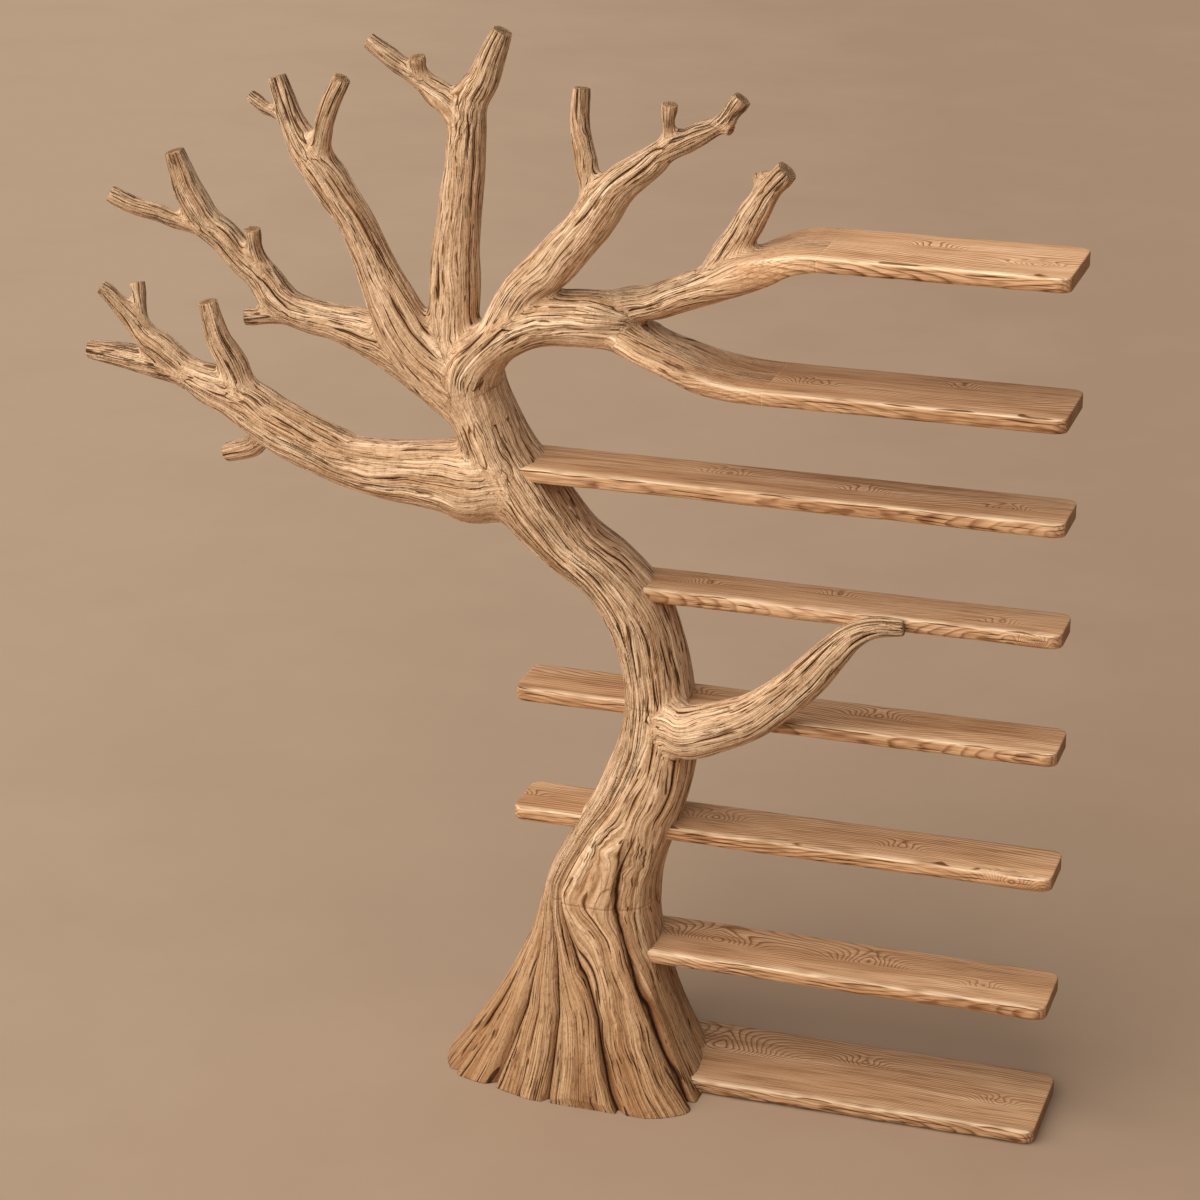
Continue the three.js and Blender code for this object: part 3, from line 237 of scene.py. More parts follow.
ARM_OVERLAP = 6.0

# Twigs: host, place on it, reach, rise, lean, girth, rows as for the limbs without the depth
TWIGS = {
    "low_left_stub": ("low_left_limb", 0.542, -122, -85, 34, 24, [
        (0, 0, 0, 1), (0.42, 0.64, 0.4, 0.875), (1, 1, 1, 0.71)]),
    "rising_twig": ("low_left_limb", 0.622, -60, 205, -26, 34, [
        (0, 0, 0, 1), (0.34, 0.365, 0.3, 0.855), (0.715, 0.61, 0.7, 0.705), (0.91, 0.85, 0.9, 0.56),
        (1, 1, 1, 0.5)]),
    "left_fork": ("low_left_limb", 0.75, -182, 172, -20, 30, [
        (0, 0, 0, 1), (0.17, 0.155, 0.2, 1), (0.36, 0.315, 0.3, 0.965), (0.52, 0.445, 0.5, 0.9),
        (0.705, 0.705, 0.7, 0.7), (0.915, 0.935, 0.9, 0.5), (1, 1, 1, 0.435)]),
    "left_fork_twig": ("left_fork", 0.535, -12, 94, 18, 17, [
        (0, 0, 0, 1), (0.1, 0.405, 0.5, 0.88), (0.7, 0.79, 0.8, 0.825), (1, 1, 1, 0.825)]),
    "middle_left_stub": ("middle_left_limb", 0.527, -100, -16, -22, 25, [
        (0, 0, 0, 1), (0.36, 0.625, 0.4, 0.84), (0.645, 0.805, 0.7, 0.68), (1, 1, 1, 0.6)]),
    "middle_left_twig": ("middle_left_limb", 0.632, -14, 104, -20, 24, [
        (0, 0, 0, 1), (0.355, 0.34, 0.3, 0.835), (0.945, 0.665, 0.7, 0.625), (1, 1, 1, 0.625)]),
    "middle_left_fork": ("middle_left_limb", 0.805, -198, 59, -34, 22, [
        (0, 0, 0, 1), (0.165, 0.01, 0.2, 0.865), (0.49, 0.37, 0.5, 0.725), (0.755, 0.63, 0.8, 0.725),
        (1, 1, 1, 0.68)]),
    "upper_left_twig": ("upper_left_limb", 0.837, -109, 68, 22, 18, [
        (0, 0, 0, 1), (0.26, 0.44, 0.3, 0.835), (0.685, 0.715, 0.7, 0.72), (1, 1, 1, 0.61)]),
    "upper_left_fork": ("upper_left_limb", 0.77, 75, 167, -28, 27, [
        (0, 0, 0, 1), (0.235, 0.18, 0.3, 0.85), (0.36, 0.4, 0.5, 0.63), (0.66, 0.725, 0.8, 0.595),
        (1, 1, 1, 0.555)]),
    "top_branch": ("top_limb", 0.735, -189, 146, -20, 32, [
        (0, 0, 0, 1), (0.17, 0.235, 0.3, 0.905), (0.38, 0.45, 0.6, 0.75), (0.655, 0.69, 0.8, 0.565),
        (1, 1, 1, 0.44)]),
    "top_bud": ("top_branch", 0.468, -6, 48, -14, 18, [
        (0, 0, 0, 1), (0.635, 0.455, 0.5, 0.89), (1, 1, 1, 0.835)]),
    "top_right_twig": ("top_right_limb", 0.535, -27, 246, 26, 29, [
        (0, 0, 0, 1), (0.03, 0.23, 0.2, 0.83), (0.49, 0.43, 0.5, 0.69), (1.07, 0.71, 0.8, 0.585),
        (1, 1, 1, 0.515)]),
    "top_right_spur": ("top_right_limb", 0.775, 18, 94, -18, 18, [
        (0, 0, 0, 1), (0.565, 0.33, 0.4, 0.78), (0.85, 0.66, 0.7, 0.72), (1, 1, 1, 0.78)]),
    "top_right_bud": ("top_right_limb", 0.92, 26, -6, -10, 12, [
        (0, 0, 0, 1), (0.53, 0.285, 0.5, 0.915), (1, 1, 1, 0.835)]),
    "arm_twig": ("upper_arm", 0.45, 134, 226, -14, 36, [
        (0, 0, 0, 1.15), (0.1, 0.17, 0.1, 1), (0.34, 0.41, 0.4, 0.82), (0.56, 0.66, 0.7, 0.72),
        (0.74, 0.83, 0.8, 0.66), (1, 1, 1, 0.54)]),
    "arm_bud": ("arm_twig", 0.76, -16, 36, 10, 15, [
        (0, 0, 0, 1), (0.53, 0.49, 0.5, 0.935), (1, 1, 1, 0.865)]),
}

# Boards: distance between stations, rounding of the corners and of the end's edges
BOARD_STEP = 4.0
CORNER = 26.0
EASE = 3.5
# Width in metres of the lanes in which cracks run along a live edge
EDGE_LANE = 0.0085
# Knots in the boards: place along, share of the depth from the front, size
BOARD_KNOTS = {
    "shelf_1": [(640, 0.62, 34), (846, 0.35, 26)],
    "shelf_2": [(430, 0.4, 30), (700, 0.7, 30)],
    "shelf_3": [(250, 0.6, 30), (520, 0.5, 28), (800, 0.4, 24)],
    "shelf_4": [(210, 0.5, 28), (470, 0.62, 30), (800, 0.3, 26)],
    "shelf_5": [(-230, 0.5, 26), (180, 0.6, 30), (560, 0.55, 34)],
    "shelf_6": [(-180, 0.5, 26), (235, 0.5, 38), (620, 0.4, 28)],
    "shelf_7": [(240, 0.5, 50), (560, 0.48, 44), (800, 0.35, 24)],
    "shelf_8": [(262, 0.55, 78), (560, 0.66, 30), (850, 0.4, 26)],
}
# Knots in the live edges: place along, size
EDGE_KNOTS = {"shelf_4": [(865, 14)], "shelf_6": [(850, 25)]}
# How light each board is: its own tone, with painted light on the top board and painted shade on the lowest
BOARD_TONE_AND_LIGHT = [1.12, 1.0, 1.02, 0.98, 1.0, 1.02, 0.97, 0.82]


def board_shift(number):
    """Where a board lies in its own log, so that no two boards show the same figure"""
    return np.array([number * 1.9 + 0.4, 0.31 * number, 0.17 * number])


# The fused skin, in metres: its grid, how far joins are eased, and the lip inside each part's cut
VOXEL = 0.0026
SMOOTHING = 0.0015
WALL = 0.003
# Timbers: distance between stations, fewest stations, steps round and along a curve, and points round
STATION_STEP = 0.008
FEWEST_STATIONS = 8
POLAR_STEPS = 72
CURVE_STEPS = 24
TRUNK_SIDES = 320
LIMB_SIDES = 48
TWIG_SIDES = 28
# How far the grain turns along a timber, in radians for each metre
TWIST = 0.6
# Carving, in metres: how far a timber's grain reaches and fades, and where distances to a crack stop
GRAIN_REACH = 0.06
GRAIN_FADE = 0.011
CRACK_REACH = 0.02
# Width of the ropes and of the finer checks, and the girth from which neither grows
ROPE_WIDTH = 0.018
CHECK_WIDTH = 0.009
FULL_GIRTH = 0.08
# A knot belongs to each timber whose surface it is this close to
KNOT_GAP = 0.03
# A distance beyond all others, and the points worked on at once
FAR = 9.0
BATCH = 40000

# Knots in the limbs and the trunk: a point near the surface and a size
KNOTS = [
    (-21, 15, 1135, 22), (-45, 60, 1870, 22), (-365, 60, 1385, 16), (-300, 60, 1930, 20), (60, -60, 330, 13),
    (10, -70, 365, 11), (-330, 40, 1580, 18), (-540, 70, 1860, 15), (70, 0, 470, 15), (300, 20, 870, 14),
    (-545, 70, 1600, 14), (-330, 60, 1385, 10),
]

# Noise

slopes = np.random.default_rng(7).normal(size=(256, 3))
slopes /= np.linalg.norm(slopes, axis=1, keepdims=True)


def noise(points, seed):
    """Smooth gradient noise, about -1 to 1, at rows of points"""
    cell = np.floor(points)
    near = points - cell
    cell = cell.astype(np.int64)
    ease = near ** 3 * (near * (near * 6 - 15) + 10)
    total = np.zeros(len(points))
    for corner in range(8):
        step = np.array([corner & 1, corner >> 1 & 1, corner >> 2 & 1])
        at = cell + step
        mixed = at[:, 0] * 73856093 ^ at[:, 1] * 19349663 ^ at[:, 2] * 83492791 ^ seed * 26544357
        mixed = (mixed ^ (mixed >> 13)) * 1274126177
        slope = slopes[(mixed >> 7) & 255]
        total += ((near - step) * slope).sum(1) * np.where(step, ease, 1 - ease).prod(1)
    return total * 1.6


def stretched(points, along, across, seed):
    """Noise drawn out along the grain: one cell is along metres long and across metres wide"""
    return noise(points / np.array([along, across, across]), seed)


def soft_step(low, high, value):
    """0 before low, 1 past high, and an even curve between"""
    share = np.clip((value - low) / (high - low), 0, 1)
    return share * share * (3 - 2 * share)


# Middle lines

def through_points(points, steps):
    """A smooth centripetal curve through points, with so many steps from each to the next"""
    points = np.asarray(points, float)
    padded = np.vstack([2 * points[0] - points[1], points, 2 * points[-1] - points[-2]])
    share = (np.arange(steps) / steps)[:, None]
    runs = []
    for row in range(len(points) - 1):
        before, start, end, after = padded[row:row + 4]
        first = max(np.linalg.norm(start - before), 1e-6) ** 0.5
        middle = max(np.linalg.norm(end - start), 1e-6) ** 0.5
        last = max(np.linalg.norm(after - end), 1e-6) ** 0.5
        step = (end - start) / middle
        leave = ((start - before) / first - (end - before) / (first + middle) + step) * middle
        arrive = (step - (after - start) / (middle + last) + (after - end) / last) * middle
        runs.append(start + leave * share + (-3 * start + 3 * end - 2 * leave - arrive) * share ** 2
                    + (2 * start - 2 * end + leave + arrive) * share ** 3)
    return np.vstack(runs + [points[-1:]])


class Timber:
    """A run of timber: stations along its middle line, a frame and a ring of points at each"""

    def __init__(self, name, points, section):
        line = through_points(points, CURVE_STEPS)
        place = np.linspace(0, 1, len(line))
        arc = np.concatenate([[0], np.cumsum(np.linalg.norm(np.diff(line, axis=0), axis=1))])
        self.name = name
        self.lead = 0.0
        self.length = arc[-1]
        self.count = max(int(self.length / STATION_STEP), FEWEST_STATIONS) + 1
        self.arc = np.linspace(0, self.length, self.count)
        self.place = np.interp(self.arc, arc, place)
        self.centre = np.stack([np.interp(self.arc, arc, line[:, axis]) for axis in range(3)], 1)
        self.along = np.gradient(self.centre, axis=0)
        self.along /= np.linalg.norm(self.along, axis=1, keepdims=True)
        self.across = np.cross([0.0, 1.0, 0.0], self.along)
        self.across /= np.linalg.norm(self.across, axis=1, keepdims=True)
        self.through = np.cross(self.along, self.across)
        self.sections = np.stack([section(self, step) for step in range(self.count)])
        self.rings = (self.centre[:, None]
                      + self.sections[:, :, :1] * self.across[:, None]
                      + self.sections[:, :, 1:] * self.through[:, None])
        self.measure_reach()
        self.spin = np.repeat((self.arc * TWIST)[:, None], POLAR_STEPS + 1, 1) + self.angles
        self.planed = np.zeros(self.count)
        self.board = 0

    def at(self, share):
        """The point on the middle line at a share of its length, leaving out what is buried in a host"""
        spot = self.lead + share * (self.length - self.lead)
        return np.array([np.interp(spot, self.arc, self.centre[:, axis]) for axis in range(3)])

    def measure_reach(self):
        """The distance from the middle line to the surface at even angles, for each station"""
        self.heart = self.sections.mean(1)
        self.angles = (np.arange(POLAR_STEPS + 1) / POLAR_STEPS * 2 - 1) * math.pi
        table = []
        for ring, heart in zip(self.sections, self.heart):
            away = ring - heart
            turn = np.arctan2(away[:, 1], away[:, 0])
            order = np.argsort(turn)
            table.append(np.interp(self.angles, turn[order], np.linalg.norm(away, axis=1)[order],
                                   period=FULL_TURN))
        self.reach = np.array(table)
        self.girth = self.reach.mean(1)
        self.typical = min(self.girth.mean(), FULL_GIRTH)

    def settle(self, points):
        """Where points lie: along, off the heart, round the grain, over the surface, and the girth"""
        nearest = np.empty(len(points), int)
        square = (self.centre ** 2).sum(1)
        for start in range(0, len(points), BATCH):
            part = points[start:start + BATCH]
            nearest[start:start + BATCH] = (square - 2 * part @ self.centre.T).argmin(1)
        step = self.length / (self.count - 1)
        past = ((points - self.centre[nearest]) * self.along[nearest]).sum(1)
        station = np.clip(nearest + past / step, 0, self.count - 1.001)
        low = station.astype(int)
        share = (station - low)[:, None]

        def between(table):
            """A table's value between two stations"""
            return table[low] * (1 - share) + table[low + 1] * share

        away = points - between(self.centre)
        flat = np.stack([(away * between(self.across)).sum(1), (away * between(self.through)).sum(1)], 1)
        flat -= between(self.heart)
        angle = (np.arctan2(flat[:, 1], flat[:, 0]) / math.pi + 1) / 2 * POLAR_STEPS
        slot = np.clip(angle.astype(int), 0, POLAR_STEPS - 1)
        mix = angle - slot
        share = share[:, 0]

        def around(table):
            """A table's value between two stations and two angles"""
            return ((table[low, slot] * (1 - mix) + table[low, slot + 1] * mix) * (1 - share)
                    + (table[low + 1, slot] * (1 - mix) + table[low + 1, slot + 1] * mix) * share)

        end = np.maximum(np.where(station <= 0.01, -past, 0), np.where(station >= self.count - 1.01, past, 0))
        height = np.maximum(np.linalg.norm(flat, axis=1) - around(self.reach), end)
        girth = self.girth[low] * (1 - share) + self.girth[low + 1] * share
        return station * step, flat, around(self.spin), height, girth


def rounded_square(angles, squareness):
    """Points at angles round a shape of half width 1, from a circle at 2 to squarer ones above"""
    sides = np.stack([np.cos(angles), np.sin(angles)], 1)
    return np.sign(sides) * np.abs(sides) ** (2 / squareness)


def column(rows, number, place):
    """Reads a column of a table of rows smoothly at a place from 0 to 1"""
    values = np.array([row[number] for row in rows], float)
    tangent = np.gradient(values)
    along = np.clip(place, 0, 1) * (len(rows) - 1)
    low = min(int(along), len(rows) - 2)
    share = along - low
    rise = values[low + 1] - values[low]
    leave = tangent[low] * share * (1 - share) ** 2
    arrive = tangent[low + 1] * share ** 2 * (1 - share)
    return values[low] + leave - arrive + rise * share ** 2 * (3 - 2 * share)


# Trunk

def read_rows(rows, height, number):
    """Reads a column of rows of (height, ...) at a height"""
    return np.interp(height, [row[0] for row in rows], [row[number] for row in rows])


FOOT_SMOOTHING = 12
trunk_angles = (np.arange(TRUNK_SIDES) + 0.5) / TRUNK_SIDES * 360 - 180
foot_reach = read_rows(FOOT_ROWS, trunk_angles, 1) * FOOT_REACH
for smoothing in range(FOOT_SMOOTHING):
    foot_reach = (np.roll(foot_reach, 1) + foot_reach * 2 + np.roll(foot_reach, -1)) / 4


def swung(angles, height):
    """Where angles of the foot have swung to at a height"""
    floor = [-180, *SWING_ROWS[0][1:], 75, 180]
    there = [read_rows(SWING_ROWS, height / SWING_HEIGHT, number) for number in range(1, 7)]
    return np.interp(angles, floor, [-180, *there, 75, 180])


def trunk_section(timber, step):
    """The trunk's section: a rounded square above, the foot's toes below, and the beds of the flutes"""
    place = timber.place[step]
    centre = timber.centre[step] / MM
    half_width = TRUNK_GIRTH * column(TRUNK_ROWS, 2, place)
    front = TRUNK_DEPTH * column(TRUNK_ROWS, 3, place) / 2
    half_depth = TRUNK_DEPTH / 2 - front + BACK_TRIM / 2
    middle = front + BACK_TRIM / 2
    height = max(centre[2], 0)
    spread = max(1 - height / FLARE_HEIGHT, 0) ** FLARE_FALL
    turned = swung(trunk_angles, height)
    angle = np.radians(turned)
    ring = rounded_square(angle, TRUNK_SQUARENESS) * [half_width, half_depth] + [0, middle]
    reach = np.interp(turned, trunk_angles, foot_reach, period=360)
    toe = np.stack([np.cos(angle), np.sin(angle)], 1) * reach[:, None] - centre[:2]
    ring = ring * (1 - spread) + toe * spread
    inward = np.array([0, middle]) - ring
    inward /= np.linalg.norm(inward, axis=1, keepdims=True)
    bed = np.zeros(TRUNK_SIDES)
    for start, shape in FLUTES:
        depth, width = (read_rows(shape, height, number) for number in (1, 2))
        gap = np.linalg.norm(ring - ring[np.abs(trunk_angles - start).argmin()], axis=1)
        bed = np.maximum(bed, depth * np.exp(-(gap / width) ** 1.6))
    return (ring + inward * bed[:, None]) * MM


trunk_middle = BACK_PLANE - TRUNK_DEPTH / 2
trunk = Timber(
    "trunk",
    np.array([(row[0] * TRUNK_LEAN, trunk_middle, row[1] * CROWN_HEIGHT) for row in TRUNK_ROWS]) * MM,
    trunk_section)
timbers = {"trunk": trunk}


def swing_grain():
    """Lets the trunk's grain swing round with its flutes"""
    for step in range(trunk.count):
        away = trunk.sections[step] - trunk.heart[step]
        turn = np.arctan2(away[:, 1], away[:, 0])
        order = np.argsort(turn)
        turn = turn[order]
        labels = np.radians(trunk_angles)[order]
        labels += FULL_TURN * np.round((turn - labels) / FULL_TURN)
        turn, labels = (np.concatenate([row[-3:] - FULL_TURN, row, row[:3] + FULL_TURN])
                        for row in (turn, labels))
        trunk.spin[step] = np.interp(trunk.angles, turn, labels)


swing_grain()


def trunk_across(height):
    """Where the trunk's middle line is, left to right, at a height"""
    return np.interp(height * MM, trunk.centre[:, 2], trunk.centre[:, 0]) / MM


# Limbs, arms and twigs

# Limbs and twigs that end in a sawn face
OPEN_ENDED = set(TWIGS) | {
    "low_left_limb", "middle_left_limb", "upper_left_limb", "top_limb", "top_right_limb"}


def eased_root(timber, step, name):
    """Crown limbs start thinner inside their host, and the arch ends inside its arms, without a step"""
    share = 0.8 + 0.2 * float(soft_step(0.0, 0.09, timber.arc[step]))
    if name == "arch_limb":
        share *= 1 - 0.5 * float(soft_step(0.05, 0.0, timber.length - timber.arc[step]))
    return share


def add_limb(name, host, from_share, reach, rise, lean, girth, squareness, rows, sides=LIMB_SIDES):
    """A limb or twig along a curve from a place on its host"""
    root = timbers[host].at(from_share) / MM
    if reach is None:
        board, along, inset = BRACE_MEETS
        top, depth = BOARDS[board][:2]
        span = np.array([along, BACK_PLANE - depth - inset, top - BOARD_THICKNESS / 2]) - root
    else:
        span = np.array([reach, lean, rise])
    outline = rounded_square((np.arange(sides) + 0.5) / sides * FULL_TURN, squareness)

    def section(timber, step):
        place = timber.place[step]
        half = girth * column(rows, 3, place)
        depth = column(rows, 4, place) if len(rows[0]) > 4 else 1
        half *= 1 + 0.1 * place * (name in OPEN_ENDED)
        ring = outline * [half, half * depth] * MM
        return ring * eased_root(timber, step, name) if name in CROWN_LIMBS else ring

    points = [root + np.array([out, away, up]) * span for out, up, away in (row[:3] for row in rows)]
    timbers[name] = Timber(name, np.array(points) * MM, section)


# The live edge's section: how far in from the front, how far under the top
NOSE_ROWS = [
    (7.5, 0.2), (4.8, 0.7), (2.9, 1.6), (1.7, 2.9), (0.9, 4.9), (0.3, 7.8), (0, 11.4), (0.2, 15.2),
    (0.8, 19.0), (1.8, 22.6), (3.5, 25.8), (6.2, 28.3), (10, 29.6),
]


def board_outline(front, back, low, high):
    """The outline of a board's section: flat top, rounded live front, flat underside and squared back"""
    top = [(back + (front + 13 - back) * share, high) for share in np.linspace(0.02, 1, 18)]
    nose = [(front + inward, high - down) for inward, down in NOSE_ROWS]
    under = [(front + 14 + (back - front - 14) * share, low) for share in np.linspace(0, 0.98, 12)]
    rear = [(back, low + 2.0), (back, low + 8.0), (back, high - 8.0), (back, high - 2.0)]
    return np.array(top + nose + under + rear)


def add_arm(name, board, lift, inset, back_step, thick, rows):
    """An arm that leaves the arch round and becomes the board: its section turns into the board's"""
    top, depth, end, start = BOARDS[board]
    arch = timbers["arch_limb"]
    tip = arch.centre[-1] / MM
    begin = np.array([tip[0] - inset, tip[2] + lift])
    reach = np.array([start, top - BOARD_THICKNESS / 2]) - begin
    buried = (0.45, 0.65, 0.85)
    points = []
    for share in buried:
        inner = arch.at(share) / MM
        points.append((inner[0], inner[1], inner[2] + lift * share * 0.9))
    for row in rows:
        back = BACK_PLANE - back_step * (1 - row[3])
        points.append((begin[0] + row[0] * reach[0], back - depth / 2 * row[3], begin[1] + row[1] * reach[1]))
    points.append((points[-1][0] + ARM_OVERLAP, *points[-1][1:]))
    rows = rows[:1] * len(buried) + rows + rows[-1:]
    plank = board_outline(-depth / 2, depth / 2 - 0.7, -BOARD_THICKNESS / 2, BOARD_THICKNESS / 2)
    plank = np.stack([-plank[:, 1] / (BOARD_THICKNESS / 2), plank[:, 0] / (depth / 2)], 1)
    pole = rounded_square(np.arctan2(plank[:, 1], plank[:, 0]), ROUND_SQUARENESS)

    def halves(place):
        return np.array([thick * column(rows, 2, place), depth / 2 * column(rows, 3, place)])

    def section(timber, step):
        place = timber.place[step]
        share = float(soft_step(0.05, 0.9, column(rows, 4, place)))
        root = 0.5 + 0.5 * float(soft_step(0.0, 0.24, timber.arc[step]))
        root -= 0.03 * float(soft_step(ARM_OVERLAP, ARM_OVERLAP - 2, (timber.length - timber.arc[step]) / MM))
        return (pole * (1 - share) + plank * share) * halves(place) * root * MM

    arm = Timber(name, np.array(points) * MM, section)
    arm.planed = np.array([float(soft_step(0.2, 0.85, column(rows, 4, place))) for place in arm.place])
    arm.board = list(BOARDS).index(board)
    arm.lead = np.interp(len(buried), arm.place * (len(points) - 1), arm.arc)
    arm.half = np.array([halves(place) for place in arm.place]) * MM
    timbers[name] = arm


for name, limb in LIMBS.items():
    add_limb(name, *limb)
for name, arm in ARMS.items():
    add_arm(name, *arm)
add_limb("crown", *CROWN_SWELL)
for name, (*twig, rows) in TWIGS.items():
    add_limb(name, *twig, TWIG_SQUARENESS, rows, TWIG_SIDES)


def loft(rings):
    """Extrudes a ring of points from each station to the next and closes both ends"""
    shell = bmesh.new()
    order = shell.verts.layers.int.new("order")
    first = bmesh.ops.create_circle(shell, segments=rings.shape[1], radius=1)["verts"]
    for number, vert in enumerate(first):
        vert[order] = number
        vert.co = rings[0][number]
    rim = shell.edges[:]
    bmesh.ops.edgeloop_fill(shell, edges=rim)
    for ring in rings[1:]:
        made = bmesh.ops.extrude_edge_only(shell, edges=rim)["geom"]
        verts = {piece for piece in made if isinstance(piece, bmesh.types.BMVert)}
        rim = [piece for piece in made if isinstance(piece, bmesh.types.BMEdge)
               and piece.verts[0] in verts and piece.verts[1] in verts]
        for vert in verts:
            vert.co = ring[vert[order]]
    bmesh.ops.edgeloop_fill(shell, edges=rim)
    bmesh.ops.recalc_face_normals(shell, faces=shell.faces)
    return shell


def fused_tree():
    """All the timber as one skin without inner walls, in even small faces"""
    whole = bmesh.new()
    for timber in timbers.values():
        rings = timber.rings.copy()
        if timber.name == "trunk":
            rings[:, :, 1] = np.minimum(rings[:, :, 1], BACK_PLANE * MM)
            rings[:, :, 2] = np.maximum(rings[:, :, 2], 0)
        mesh = baked(loft(rings), "shell")
        whole.from_mesh(mesh)
        bpy.data.meshes.remove(mesh)
    mesh = baked(whole, "tree")
    tree = new_object("tree", mesh)
    skin = tree.modifiers.new("skin", "REMESH")
    skin.mode = "VOXEL"
    skin.voxel_size = VOXEL
    skin.use_smooth_shade = True
    graph = bpy.context.evaluated_depsgraph_get()
    fused = bpy.data.meshes.new_from_object(tree.evaluated_get(graph))
    tree.modifiers.clear()
    tree.data = fused
    bpy.data.meshes.remove(mesh)
    return tree


def read(things, field, size, kind):
    """A field of all vertices, edges or the like, as an array"""
    values = np.empty(len(things) * size, kind)
    things.foreach_get(field, values)
    return values.reshape(-1, size) if size > 1 else values


def add_field(mesh, label, values):
    """Stores a number or a vector for each point of a mesh"""
    kind, field = ("FLOAT", "value") if values.ndim == 1 else ("FLOAT_VECTOR", "vector")
    mesh.attributes.new(label, kind, "POINT").data.foreach_set(field, values.astype(np.float32).ravel())


def smooth_where(points, edges, weight, rounds):
    """Relaxes points towards their neighbours, by a weight for each"""
    live = np.flatnonzero(weight > 0)
    number = np.full(len(points), -1)
    number[live] = np.arange(len(live))
    kept = edges[(weight[edges[:, 0]] > 0) | (weight[edges[:, 1]] > 0)]
    both = np.vstack([kept, kept[:, ::-1]])
    both = both[number[both[:, 0]] >= 0]
    target = number[both[:, 0]]
    degree = np.maximum(np.bincount(target, minlength=len(live)), 1)
    strength = (weight[live] * 0.6)[:, None]
    for step in range(rounds):
        goal = np.stack([np.bincount(target, points[both[:, 1], axis], len(live)) for axis in range(3)], 1)
        points[live] += (goal / degree[:, None] - points[live]) * strength
    return points


def strands(along, turn, girth, lanes, length, share, seed):
    """Cracks that run side by side along the grain: a signed distance across, and how open they are"""
    lane = turn * lanes / FULL_TURN
    distance = np.sin(math.pi * lane) * 2 * girth / lanes
    own = np.mod(np.round(lane), lanes)
    gate = noise(np.stack([along / length, own * 7.31, np.full(len(along), 0.37)], 1), seed)
    return distance, soft_step(share, share + 0.42, gate)


def knots_near(timber, along, turn, girth):
    """How far points are from the closest knot, and how far the knots push the grain aside"""
    depth = np.full(len(along), FAR)
    push = np.zeros(len(along))
    where, away, facing, height = timber.settle(np.array([knot[:3] for knot in KNOTS]) * MM)[:4]
    for spot, angle, gap, knot in zip(where, facing, height, KNOTS):
        if gap > KNOT_GAP:
            continue
        size = knot[3] * MM
        side = (turn - angle + math.pi) % FULL_TURN - math.pi
        reach = np.hypot((along - spot) / (1.6 * size), side * girth / size)
        reach *= 1 + 0.3 * noise(np.stack([along / size, side * girth / size, reach * 0 + knot[0]], 1), 77)
        push -= side * 0.7 * np.exp(-(reach / 1.5) ** 2)
        depth = np.minimum(depth, reach)
    return depth, push


def relief(timber, along, turn, girth, seed):
    """The carved surface of a timber: bent grain, heights, painted light and shade for the relief, and two
    sets of cracks as distances
    """
    knot, push = knots_near(timber, along, turn, girth)
    turn = turn + push
    spread = 0.3 * math.sqrt(timber.typical)
    along = along + seed * 3.7
    grain = np.stack([along, np.cos(turn) * spread, np.sin(turn) * spread], 1)
    sway = stretched(grain, 0.16, 0.055, seed + 1) * 0.0075 + stretched(grain, 0.05, 0.024, seed + 2) * 0.0034
    turn = turn + sway * np.clip(girth / 0.06, 0.1, 1) / np.maximum(girth, 0.008)
    bent = np.stack([along, np.cos(turn) * spread, np.sin(turn) * spread], 1)
    size = np.clip(girth / 0.05, 0.3, 1.2)
    major = 2 * max(round(math.pi * timber.typical / ROPE_WIDTH), 3)
    minor = 2 * max(round(math.pi * timber.typical / CHECK_WIDTH), 5)
    fissure, fissure_gate = strands(along, turn, girth, major, 0.1, 0.04, seed + 8)
    shift = stretched(bent, 0.3, 0.03, seed + 12) * 0.9
    shifted = turn + shift * FULL_TURN / minor
    check, check_gate = strands(along, shifted, girth, minor, 0.04, 0.02, seed + 10)
    rope = np.abs(fissure) * major / (2 * girth + 1e-9)
    lumps = stretched(grain, 0.13, 0.06, seed + 5)
    ropes = stretched(bent, 0.34, 0.022, seed + 6)
    swell = soft_step(-0.5, 0.6, stretched(grain, 0.16, 0.05, seed + 9))
    height = (lumps * 0.0024 + ropes * 0.0016 + (rope - 0.64) * (0.0007 + 0.0016 * swell)) * size
    # Painted light and shade for the relief: lighter on the ropes and lumps, darker in the hollows between
    # them, and darker at the knots
    ridge = 0.5 + ropes * 0.13 + (rope - 0.64) * 0.12 * (0.4 + swell) + lumps * 0.12
    height += (np.exp(-(knot / 0.9) ** 4) * 0.0022 - np.exp(-(knot / 0.35) ** 2) * 0.0026) * np.sqrt(size)
    ridge -= np.exp(-(knot / 0.45) ** 2) * 0.34
    fissure, check = np.clip([fissure, check], -CRACK_REACH, CRACK_REACH)
    return bent, np.stack([height, ridge, fissure, fissure_gate, check, check_gate], 1)


def settle_labels(label, edges, rounds):
    """Gives single stray points the label that most of their neighbours have"""
    count = len(label)
    kinds = label.max() + 1
    for number in range(rounds):
        near = edges[label[edges[:, 0]] != label[edges[:, 1]]]
        rim = np.unique(near)
        slot = np.full(count, -1)
        slot[rim] = np.arange(len(rim))
        both = np.vstack([edges, edges[:, ::-1]])
        both = both[slot[both[:, 0]] >= 0]
        votes = np.bincount(slot[both[:, 0]] * kinds + label[both[:, 1]], minlength=len(rim) * kinds)
        votes = votes.reshape(len(rim), kinds) * 2
        votes[np.arange(len(rim)), label[rim]] += 1
        label[rim] = votes.argmax(1)
    return label


